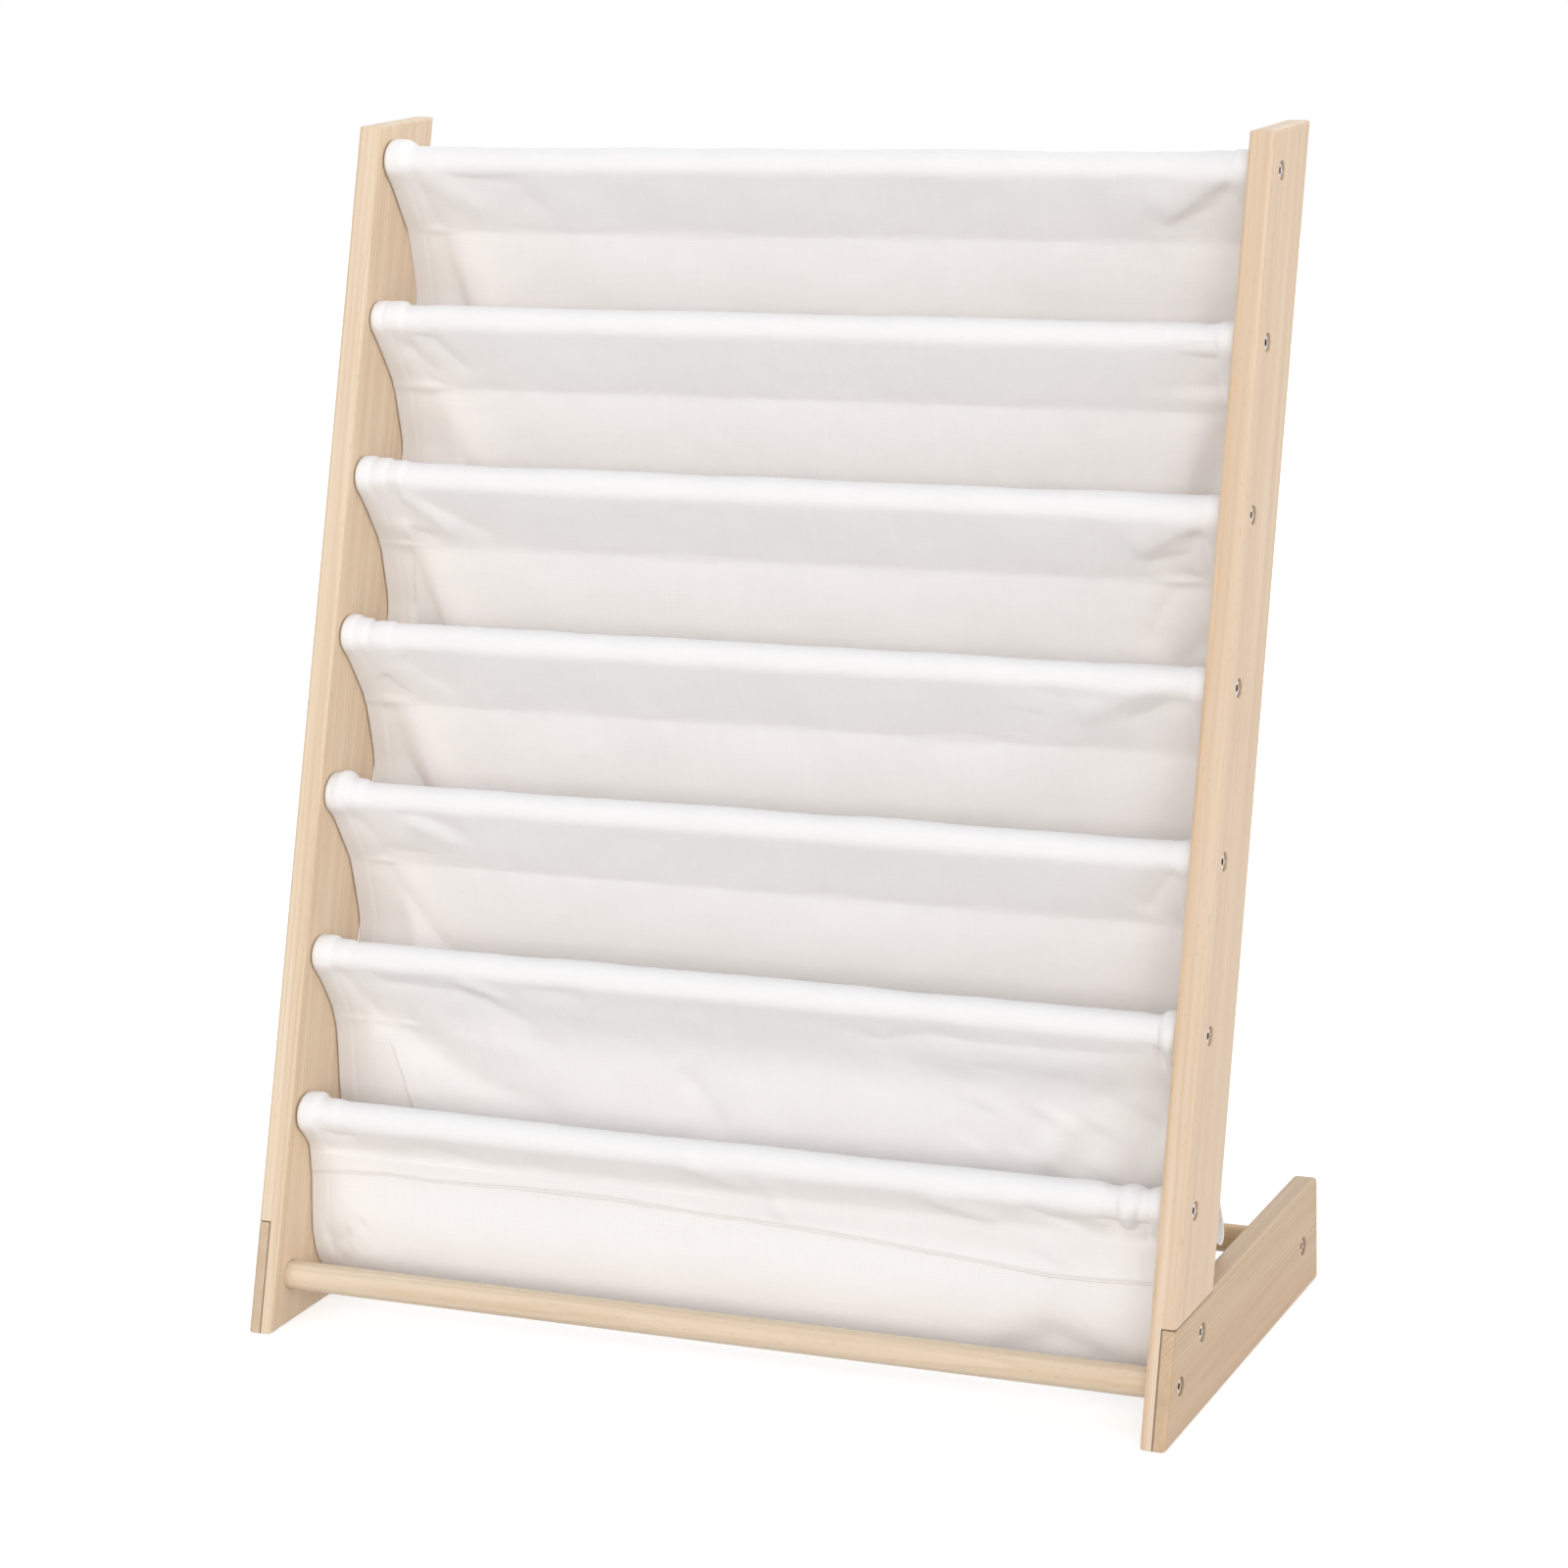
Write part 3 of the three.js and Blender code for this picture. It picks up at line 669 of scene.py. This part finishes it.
def beside(x, s, line):
    """The signed distance of each (x, s) from a bent line, positive on its right going down it, and
    the share of the line's length at its nearest place."""
    line = np.array(line, float)
    spans = np.diff(line, axis=0)
    lengths = np.hypot(*spans.T)
    starts = np.concatenate([[0.0], np.cumsum(lengths)[:-1]])
    best = np.full(x.shape, 1e9)
    signed = np.zeros(x.shape)
    place = np.zeros(x.shape)
    for (ax, at), (dx, dt), length, start in zip(line, spans, lengths, starts):
        t = np.clip(((x - ax) * dx + (s - at) * dt) / length ** 2, 0, 1)
        distance = np.hypot(x - ax - t * dx, s - at - t * dt)
        side = np.sign((x - ax) * dt - (s - at) * dx)
        nearer = distance < best
        best = np.where(nearer, distance, best)
        signed = np.where(nearer, side * distance, signed)
        place = np.where(nearer, (start + t * length) / lengths.sum(), place)
    return signed, place


def fold(x, s, kind, line, height, left, right, fade=(0.2, 0.25)):
    """One fold of the cloth along a bent line of (x, s) places.

    A ridge takes height times a bell of the distance, `left` wide on one side and `right` on the
    other, and with a negative height it is a dent. A crease takes minus height times e to the minus
    distance over width, rounded at its tip, so it is a sharp valley. Both rise and fall over the
    ends of the line. A hinge moves all that is left of the line by height times 1 minus e to the
    minus distance over `left`."""
    signed, place = beside(x, s, line)
    width = np.where(signed < 0, left, right)
    taper = step_up(place, -1e-6, fade[0]) * (1 - step_up(place, 1 - fade[1], 1.0))
    if kind == "hinge":
        return height * (1 - np.exp(np.minimum(signed, 0) / left))
    if kind == "ridge":
        return height * taper * np.exp(-(signed / width) ** 2)
    tip = TIP_SHARE * width
    return -height * taper * np.exp(-(np.sqrt(signed ** 2 + tip ** 2) - tip) / width)


def ripples(x, s, seed, waves, length, height):
    """A sum of cosine waves of random direction, length and phase, over the root of their count."""
    draw = np.random.default_rng(seed)
    total = np.zeros(x.shape)
    for _ in range(waves):
        reach = length * draw.uniform(0.6, 1.8)
        angle = draw.uniform(0, pi)
        phase = draw.uniform(0, 2 * pi)
        total += np.cos(2 * pi * (x * cos(angle) + s * sin(angle)) / reach + phase)
    return height * total / np.sqrt(waves)


# Folds of each tier: kind, places (x, s), height, width on the left and on the right going down
FOLDS = {
    7: [("crease", [(-267, 8), (-265, 20), (-261, 55), (-257, 85), (-249, 115),
                    (-238, 160)], 2.7, 10, 6),
        ("ridge", [(-266, 22), (-240, 38), (-217, 52)], 1.8, 8, 8),
        ("crease", [(-250, 20), (-194, 30), (-176, 58)], 1.6, 8, 8),
        ("ridge", [(278, 12), (254, 27), (238, 40), (220, 53)], 2.8, 12, 5),
        ("crease", [(272, 20), (261, 39), (237, 50), (220, 62)], 1.8, 4, 10),
        ("crease", [(196, 21), (238, 22)], 0.8, 5, 5),
        ("crease", [(222, 72), (220, 116)], 0.8, 7, 7)],
    6: [("crease", [(-272, 10), (-268, 24), (-260, 42), (-257, 60), (-255, 82), (-245, 100),
                    (-237, 118), (-226, 155)], 2.7, 10, 6),
        ("crease", [(-253, 10), (-245, 25), (-235, 39), (-221, 58)], 2.0, 7, 4),
        ("crease", [(-268, 30), (-263, 35), (-255, 48), (-241, 57)], 1.6, 6, 4),
        ("crease", [(270, 12), (270, 58)], 4.0, 17, 2.5),
        ("crease", [(276, 64), (268, 90), (258, 118), (250, 155)], 4.0, 12, 5),
        ("ridge", [(262, 62), (250, 90), (239, 118), (232, 155)], 2.5, 14, 7),
        ("crease", [(265, -8), (267, 18)], 1.2, 1.6, 1.6)],
    5: [("crease", [(-259, 12), (-257, 33), (-259, 54)], 2.8, 8, 4),
        ("crease", [(-266, 58), (-262, 70), (-256, 91), (-247, 118), (-236, 155)], 2.8, 10, 6),
        ("crease", [(-260, 52), (-235, 60)], 1.7, 5, 3),
        ("crease", [(-247, 23), (-215, 47), (-193, 59)], 1.8, 4, 12),
        ("ridge", [(-252, 20), (-249, 29), (-233, 46), (-222, 60)], 1.5, 4, 6),
        ("ridge", [(276, 16), (254, 27), (222, 49)], 2.4, 12, 5),
        ("crease", [(271, 22), (260, 44), (228, 55)], 2.4, 4, 9),
        ("crease", [(264, 54), (246, 73), (237, 86), (222, 116)], 2.4, 5, 10),
        ("crease", [(276, 96), (240, 124)], 2.6, 8, 8)],
    4: [("crease", [(-273, 12), (-269, 35), (-265, 51), (-265, 80), (-259, 102), (-250, 124),
                    (-238, 160)], 2.9, 9, 6),
        ("crease", [(-264, 42), (-257, 54), (-244, 60)], 1.8, 6, 3),
        ("crease", [(-249, 24), (-229, 43), (-208, 57)], 1.3, 5, 10),
        ("ridge", [(266, 8), (247, 16), (230, 25), (195, 47)], 2.2, 9, 6),
        ("crease", [(273, 17), (249, 34), (226, 45)], 2.0, 4, 12),
        ("crease", [(172, 23), (228, 26)], 1.0, 6, 6),
        ("crease", [(171, 36), (165, 64)], 0.9, 6, 6)],
    3: [("crease", [(-275, 10), (-272, 25), (-260, 44), (-258, 57), (-257, 67), (-252, 81),
                    (-243, 93), (-233, 107), (-224, 121), (-210, 155)], 2.7, 10, 6),
        ("crease", [(-242, 22), (-217, 24), (-199, 34), (-187, 46)], 1.7, 5, 6),
        ("ridge", [(-235, 27), (-212, 37), (-200, 52)], 1.7, 6, 5),
        ("crease", [(-259, 56), (-214, 57)], 1.2, 4, 4),
        ("crease", [(274, 18), (263, 35), (246, 60)], 2.4, 6, 9)],
    2: [("crease", [(-270, 16), (-260, 41), (-251, 55), (-245, 75)], 2.6, 6, 6),
        ("crease", [(-254, 13), (-237, 31), (-212, 32), (-186, 33), (-171, 39), (-157, 48),
                    (-129, 60)], 2.4, 6, 5),
        ("ridge", [(-188, 22), (-165, 30), (-152, 40)], 1.7, 4, 4),
        ("crease", [(-146, 20), (-121, 24), (-92, 25)], 1.3, 5, 5),
        ("ridge", [(-229, 56), (-194, 71), (-173, 74), (-136, 74)], 2.5, 9, 14),
        ("crease", [(-240, 59), (-223, 79), (-207, 90), (-188, 97), (-168, 104), (-147, 110),
                    (-110, 122)], 4.6, 12, 12),
        ("ridge", [(-270, 72), (-224, 94), (-204, 109)], 2.0, 14, 10),
        ("ridge", [(104, 48), (200, 46), (272, 48)], 2.2, 12, 12),
        ("crease", [(56, 30), (94, 40), (127, 31), (155, 34), (271, 32)], 1.5, 4, 4),
        ("crease", [(150, 55), (178, 55)], 0.9, 3, 3),
        ("crease", [(-46, 76), (-27, 96), (-10, 120)], 2.6, 12, 6),
        ("ridge", [(156, 80), (144, 108)], -1.5, 9, 9),
        ("ridge", [(193, 82), (178, 112)], -1.9, 10, 8),
        ("ridge", [(211, 82), (190, 120)], 2.3, 8, 7),
        ("ridge", [(228, 86), (211, 122)], -2.2, 9, 9),
        ("crease", [(268, 76), (245, 126)], 3.4, 14, 6),
        ("crease", [(-277, 277), (-255, 279)], 3.0, 5, 5),
        ("crease", [(-260, 278), (-245, 293)], 1.9, 4, 4),
        ("crease", [(-275, 274), (-260, 256)], 2.6, 5, 5),
        ("crease", [(128, 268), (170, 261)], 1.2, 8, 8),
        ("ridge", [(168, 236), (211, 258), (256, 236)], -17.0, 15, 15)],
    1: [("crease", [(-273, 14), (-261, 28), (-242, 24)], 2.2, 4, 4),
        ("crease", [(-272, 41), (-260, 41)], 0.9, 3, 3),
        ("crease", [(-210, 29), (-174, 36), (-171, 44)], 1.1, 4, 4),
        ("crease", [(-130, 36), (-115, 32)], 0.9, 4, 4),
        ("ridge", [(-26, 16), (4, 27), (24, 32)], 1.7, 5, 6),
        ("ridge", [(30, 18), (40, 56)], 1.7, 4, 4),
        ("ridge", [(130, 22), (160, 31), (186, 38)], 1.9, 5, 6),
        ("crease", [(192, 19), (214, 30), (238, 31)], 1.6, 5, 4),
        ("ridge", [(-20, 47), (80, 43), (244, 46)], 1.5, 9, 9),
        ("ridge", [(224, 32), (212, 64)], 1.6, 12, 12)],
}

# Tight tucks beside the right board, in the same form
TUCKS = {
    2: [("crease", [(271, -16), (271, 24), (272, 46)], 3.2, 3.0, 1.8),
        ("ridge", [(278, 8), (278, 28), (277, 40)], 2.2, 4.0, 6.0)],
    1: [("crease", [(255, -16), (254, 8), (252.5, 20), (254, 30), (259, 40)], 3.2, 5.0, 2.2),
        ("crease", [(271, -16), (271.5, 12), (268, 26), (262, 38)], 3.2, 2.2, 4.0),
        ("ridge", [(262, 10), (262, 34)], 1.2, 5.0, 5.0),
        ("ridge", [(243, -18), (243, 34)], 1.7, 24.0, 9.0),
        ("crease", [(248, 4), (246, 32)], 1.6, 6.0, 4.0),
        ("crease", [(275, 16), (271, 30), (271, 50)], 1.8, 3.0, 3.0)],
}

# How far a tier's left end swings forward from its end crease outwards. It always stays END_MARGIN
# in front of the board's back edge, blended over about SWING_BLEND. The swing sets in and dies away
# over two stretches of s, and its hinge has most of its turn within HINGE_WIDTH
END_SWING = {7: 0.0, 6: -1.5, 5: -1.0, 4: -1.0, 3: 0.0, 2: -1.5}
END_MARGIN = 2.5
SWING_BLEND = 1.5
SWING_STARTS = (25.0, 60.0)
SWING_STOPS = (125.0, 170.0)
HINGE_WIDTH = 16.0
LEAST_HINGE = 0.3

# Rings where a tier's end hems bunch on the dowel: distance from the end, half width and height
LEFT_RINGS = {7: [(7.0, 7.5, 3.4)],
              6: [(3.6, 4.6, 2.4), (14.5, 6.0, 2.6)],
              5: [(4.2, 5.0, 3.2), (15.0, 5.0, 2.5), (26.0, 5.5, 1.3)],
              4: [(3.4, 4.4, 3.9), (12.0, 4.0, 2.4), (26.0, 6.5, 1.1)],
              3: [(3.0, 9.0, 4.2), (14.0, 9.0, 2.0)],
              2: [(5.5, 6.5, 2.7), (18.0, 6.0, 1.0)],
              1: [(6.0, 6.6, 3.8), (20.0, 6.0, 0.8)]}
RIGHT_RINGS = {7: [(5.0, 6.0, 0.9)],
               6: [(5.0, 6.5, 1.0)],
               5: [(5.0, 6.0, 0.6)],
               4: [(5.0, 6.0, 0.8)],
               3: [(3.0, 4.0, 0.8)],
               2: [(5.5, 6.2, 2.6)],
               1: [(5.5, 6.2, 2.4), (20.5, 7.8, 2.1)]}

# The lowest sleeve's sewn edge in front: its place along s at each x
HEM_LINE = [(-281, 58.8), (-254, 56.4), (-229, 55.1), (-198, 56.0), (-167, 55.2), (-137, 53.9),
            (-76, 53.7), (-47, 55.5), (-17, 57.3), (12, 57.8), (41, 58.6), (69, 60.1), (98, 61.8),
            (126, 64.0), (154, 65.7), (182, 67.9), (209, 70.1), (237, 69.9), (264, 68.6),
            (281, 68.0)]
# The stitch row's distance from that edge; the lowest sleeve's painted shade line is centred there
HEM_SEAM = 1.5

# Ripples and the puckers along a seam: seed, number of waves, their usual length and their height.
# A pucker runs mostly down the cloth and dies away from the seam
SLOW_RIPPLES = (40, 12, 85.0, 0.42)
FINE_RIPPLES = (60, 16, 26.0, 0.10)
PUCKERS = (90, 8, 17.0, 0.28)
PUCKER_STRETCH = 0.15
PUCKER_REACH = 7.0

# The groove along a seam: depth and half width, on the lowest sleeve and on the others
HEM_GROOVE = (0.3, 1.2)
SEAM_GROOVE = (0.12, 1.6)

# The swell beside each end crease: its crest's distance from the end at the seam and how much more
# at the lowest fold, its half width outside and inside the crest, its height left and right, and
# how many times over its rise and fall fit in the way down
SWELL_CREST = (33.0, 40.0)
SWELL_WIDTH = (9.0, 24.0)
SWELL_HEIGHT = (4.5, 1.2)
SWELL_SPAN = 1.35

# How far round the crown the end rings reach, on the left and on the right
RING_REACH = (24.0, 30.0)

# The end hems: thickness, the dip beside them with its distance and half width, and their edge
HEM_RISE = 0.28
HEM_GUTTER = (0.14, 1.2, 0.9)
HEM_EDGE = 0.9


def tier_ripples(number, x, s, kind):
    """One kind of ripples over a tier, from its own seed."""
    seed, waves, length, height = kind
    return ripples(x, s, seed + number, waves, length, height)


def end_swing(number, x, s):
    """The left end swung forward about its end crease, so that it stays in front of the board's
    back edge: the greater of the tier's own swing and of the least one, softly blended."""
    line, line_s, _, _ = tier_line(number)
    behind = np.interp(s, line_s, line[:, 0] * cos(LEAN) - line[:, 1] * sin(LEAN))
    swing = END_SWING[number] * step_up(s, *SWING_STARTS)
    least = behind + END_MARGIN - UPRIGHT_DEPTH
    swing = SWING_BLEND * np.logaddexp(swing / SWING_BLEND, least / SWING_BLEND)
    swing *= 1 - step_up(s, *SWING_STOPS)
    hinge = fold(x, s, "hinge", FOLDS[number][0][1], 1.0, HINGE_WIDTH, HINGE_WIDTH)
    return swing * hinge / np.maximum(hinge[:, :1], LEAST_HINGE)


def end_swell(x, from_end, down):
    """A swell beside each end crease whose crest moves inwards on its way down, from 0 at the seam
    to 1 at the lowest fold; it rises and falls as half a sine."""
    crest = SWELL_CREST[0] + SWELL_CREST[1] * down
    width = np.where(from_end < crest, *SWELL_WIDTH)
    height = np.where(x < 0, *SWELL_HEIGHT)
    rise = np.sin(pi * np.clip(down * SWELL_SPAN, 0, 1))
    return height * rise * np.exp(-((from_end - crest) / width) ** 2)


def end_rings(number, x, s):
    """The rings where the end hems bunch on the dowel: flat-topped bells across and round it."""
    out = np.zeros(x.shape)
    for side, reach, table in zip((-1, 1), RING_REACH, (LEFT_RINGS, RIGHT_RINGS)):
        crown = np.exp(-(s / reach) ** 4)
        for centre, half, height in table[number]:
            out += height * crown * np.exp(-((CLOTH_HALF - side * x - centre) / half) ** 6)
    return out


def relief(number, x, s, seam_s, turn_s):
    """How far each point of a tier stands out from its plain hanging form.

    It is the tier's own folds and tucks, its left end's swing, the swells beside the end creases as
    the solids have them, puckers along the seam that die away within a few millimetres, the rings
    and hems at the ends, and low ripples."""
    out = tier_ripples(number, x, s, SLOW_RIPPLES) + tier_ripples(number, x, s, FINE_RIPPLES)
    for kind, line, height, left, right in FOLDS[number]:
        out += fold(x, s, kind, line, FOLD_DEPTH * height, FOLD_WIDTH * left, FOLD_WIDTH * right)
    for kind, line, height, left, right in TUCKS.get(number, []):
        out += fold(x, s, kind, line, height, left, right)
    from_end = CLOTH_HALF - np.abs(x)
    if number > 1:
        out += end_swing(number, x, s)
    if number > 2:
        out += end_swell(x, from_end, np.clip((s - seam_s) / (turn_s - seam_s), 0, 1))
    pucker = tier_ripples(number, x, PUCKER_STRETCH * s, PUCKERS)
    out += pucker * np.exp(-np.abs(s - seam_s) / PUCKER_REACH)
    depth, width = HEM_GROOVE if number == 1 else SEAM_GROOVE
    out -= depth * bell(s, seam_s, width)
    out += end_rings(number, x, s)
    hem = 1 - step_up(from_end, HEM_WIDTH - HEM_EDGE, HEM_WIDTH + HEM_EDGE)
    depth, beside_hem, width = HEM_GUTTER
    return out + HEM_RISE * hem - depth * bell(from_end, HEM_WIDTH + beside_hem, width)


def add_tier(number, finish):
    """One tier: its side-view line swept across, moved out by its relief, then bellied and flared.

    Near its seam it may dip only a little, and nowhere does it come nearer to its dowel's axis than
    LEAST_CROWN. Past its lowest fold each tier above the second takes the relief of the one below,
    which it lies on."""
    line, s, seam_s, turn_s = tier_line(number)
    tangent = np.gradient(line, axis=0)
    tangent /= np.hypot(*tangent.T)[:, None]
    x = stretches(COLUMNS)
    rows = stretches(ROWS.get(number, PLAIN_ROWS), s[0], s[-1] - s[0])
    grid_x, grid_s = np.meshgrid(x, rows)
    if number == 1:
        hem = np.interp(x, *np.array(HEM_LINE, float).T)
        low = seam_s - SEAM_REACH
        grid_s = np.where(grid_s > low, low + (grid_s - low) * (hem - low) / (s[-1] - low), grid_s)
        front = np.ones(grid_s.shape)
        out = relief(1, grid_x, grid_s, hem - HEM_SEAM, seam_s)
    else:
        front = np.where(grid_s > turn_s, -1.0, 1.0)
        out = relief(number, grid_x, grid_s, seam_s, turn_s)
        if number > 2:
            _, _, below_seam, below_turn = tier_line(number - 1)
            shared = relief(number - 1, grid_x, below_seam + s[-1] - grid_s, below_seam, below_turn)
            out = np.where(grid_s > turn_s, shared, out)
        out *= 1 - bell(grid_s, turn_s, TURN_CALM)
    away = np.abs(seam_s - grid_s)
    if number == 1:
        least = -HEM_DIP - DIP_GROWTH * np.maximum(away - HEM_OVERHANG - 1.0, 0.0)
    else:
        least = -SEAM_DIP - DIP_GROWTH * away
    kept_off = least + SEAM_SLACK * np.logaddexp(0.0, (out - least) / SEAM_SLACK)
    out = np.where(away < SEAM_REACH, kept_off, out)
    from_ends = grid_s - s[0] if number == 1 else np.minimum(grid_s - s[0], s[-1] - grid_s)
    out *= front * step_up(from_ends, 0.0, END_CALM)
    y, z, along_y, along_z = (np.interp(grid_s, s, track) for track in (*line.T, *tangent.T))
    y = y + along_z * out
    z = z - along_y * out
    axis = front_dowel(number)
    reach = np.hypot(y - axis[0], z - axis[1])
    push = np.maximum(LEAST_CROWN / reach, 1.0)
    y, z = axis[0] + (y - axis[0]) * push, axis[1] + (z - axis[1]) * push
    if number > 1:
        share = np.clip((grid_s - seam_s) / (s[-1] - seam_s), 0, 1)
        z -= BELLY_DROP * (1 - (grid_x / CLOTH_HALF) ** 2) * np.sin(pi * share) ** 2
        if number == FLARED_TIER:
            flare = bell(grid_s, turn_s, FLARE_SPREAD) * bell(grid_x, CLOTH_HALF, FLARE_REACH)
            y += FLARE * flare
            z -= FLARE_SAG * flare
    y, z = to_frame(y, z)
    points = np.stack([grid_x * MM, y, z], axis=-1).reshape(-1, 3)
    stitched = seam_s if number > 1 else (hem - HEM_SEAM)[None, :]
    uv = np.stack([grid_x * MM, (grid_s - stitched) * MM], axis=-1).reshape(-1, 2)
    piece = mesh_object(f"canvas_tier_{number}", points, grid_faces(*grid_s.shape), uv)
    wall = piece.modifiers.new("thickness", "SOLIDIFY")
    wall.thickness = CLOTH_THICKNESS * MM
    wall.offset = 0.0
    wall.use_even_offset = True
    nodes = [f"sleeve_{number}"]
    if number > 1:
        nodes.append(f"pocket_{number - 1}")
    add_piece(piece, finish, "canvas", *nodes)


def add_canvas():
    plain, hem_shaded = canvas("white_canvas"), canvas("hem_shaded_canvas", hem_shaded=True)
    for number in range(SLUNG, 0, -1):
        add_tier(number, plain if number > 1 else hem_shaded)


# Floor, light and camera

LAMP_SPREAD = 0.7
FLOOR_GLOW = 0.6
AMBIENT = 0.43


def seen_rays(tree):
    """1 for the rays that show the background: from the camera, off metal or through glass."""
    path = tree.nodes.new("ShaderNodeLightPath")
    total = path.outputs["Is Camera Ray"]
    for kind in ("Is Glossy Ray", "Is Transmission Ray"):
        either = tree.nodes.new("ShaderNodeMath")
        either.operation = "MAXIMUM"
        tree.links.new(total, either.inputs[0])
        tree.links.new(path.outputs[kind], either.inputs[1])
        total = either.outputs[0]
    return total


def white_floor():
    """A matt pale floor that keeps the object's shadow and looks white where nothing shades it."""
    finish = Finish("studio_floor")
    finish.shader.inputs["Base Color"].default_value = (0.65, 0.63, 0.61, 1.0)
    finish.shader.inputs["Roughness"].default_value = 1.0
    finish.shader.inputs["Specular IOR Level"].default_value = 0.0
    glow = finish.node("ShaderNodeEmission")
    lift = finish.math("MULTIPLY", seen_rays(finish.tree), FLOOR_GLOW)
    finish.tree.links.new(lift, glow.inputs["Strength"])
    total = finish.node("ShaderNodeAddShader", {0: finish.shader.outputs[0], 1: glow.outputs[0]})
    finish.tree.links.new(total.outputs[0], finish.tree.nodes["Material Output"].inputs["Surface"])
    return finish.material


def add_floor():
    reach = 6.0
    corners = [(-reach, -reach, 0), (reach, -reach, 0), (reach, reach, 0), (-reach, reach, 0)]
    floor = mesh_object("floor", np.array(corners) - [0, 0, 0.0002], [(0, 1, 2, 3)])
    floor.data.materials.append(white_floor())


def add_lamp(name, direction, power, colour):
    """A broad soft lamp, far off, at one angle to the right of the front and one above level."""
    across, above = map(radians, direction)
    towards = Vector((sin(across) * cos(above), -cos(across) * cos(above), sin(above)))
    lamp = bpy.data.lights.new(name, "SUN")
    lamp.angle = LAMP_SPREAD
    lamp.energy = power
    lamp.color = colour
    made = bpy.data.objects.new(name, lamp)
    made.location = 3 * towards
    made.rotation_euler = (-towards).to_track_quat("-Z", "Y").to_euler()
    bpy.context.scene.collection.objects.link(made)


def add_light():
    add_lamp("left_softbox", (-26.0, 19.5), 1.02, (1.0, 1.0, 1.0))
    add_lamp("right_softbox", (32.0, 19.5), 0.95, (1.0, 1.0, 1.0))
    add_lamp("side_softbox", (85.0, 5.0), 1.30, (1.0, 1.0, 1.0))
    add_lamp("top_softbox", (0.0, 80.0), 0.27, (0.05, 0.5, 1.0))
    add_lamp("back_softbox", (180.0, 45.0), 0.95, (1.0, 1.0, 1.0))
    world = bpy.data.worlds.new("studio")
    bpy.context.scene.world = world
    world.use_nodes = True
    nodes, links = world.node_tree.nodes, world.node_tree.links
    ambient = nodes["Background"]
    ambient.inputs["Color"].default_value = (1.0, 1.0, 1.0, 1.0)
    ambient.inputs["Strength"].default_value = AMBIENT
    white = nodes.new("ShaderNodeBackground")
    white.inputs["Color"].default_value = (1.0, 1.0, 1.0, 1.0)
    white.inputs["Strength"].default_value = 1.0
    seen = seen_rays(world.node_tree)
    mixed = nodes.new("ShaderNodeMixShader")
    links.new(seen, mixed.inputs[0])
    links.new(ambient.outputs[0], mixed.inputs[1])
    links.new(white.outputs[0], mixed.inputs[2])
    links.new(mixed.outputs[0], nodes["World Output"].inputs["Surface"])


CAMERA_PLACE = (1.01637, -2.29520, 0.93318)
CAMERA_YAW = 0.4136
CAMERA_PITCH = 0.2336
CAMERA_ROLL = -0.0308
FOCAL_PIXELS = 4316.86
IMAGE_PIXELS = 1600
SENSOR = 36.0


def add_camera():
    forward = Vector((-sin(CAMERA_YAW) * cos(CAMERA_PITCH), cos(CAMERA_YAW) * cos(CAMERA_PITCH),
                      -sin(CAMERA_PITCH)))
    level = Vector((cos(CAMERA_YAW), sin(CAMERA_YAW), 0.0))
    upward = level.cross(forward)
    right = level * cos(CAMERA_ROLL) + upward * sin(CAMERA_ROLL)
    up = -level * sin(CAMERA_ROLL) + upward * cos(CAMERA_ROLL)
    lens = bpy.data.cameras.new("photograph")
    lens.sensor_width = SENSOR
    lens.lens = FOCAL_PIXELS / IMAGE_PIXELS * SENSOR
    made = bpy.data.objects.new("photograph", lens)
    turn = Matrix((right, up, -forward)).transposed()
    made.matrix_world = Matrix.Translation(CAMERA_PLACE) @ turn.to_4x4()
    bpy.context.scene.collection.objects.link(made)
    bpy.context.scene.camera = made


add_camera()
dress_boards()
add_dowels()
add_screws()
add_canvas()
add_floor()
add_light()
bpy.context.scene.view_settings.view_transform = "Standard"
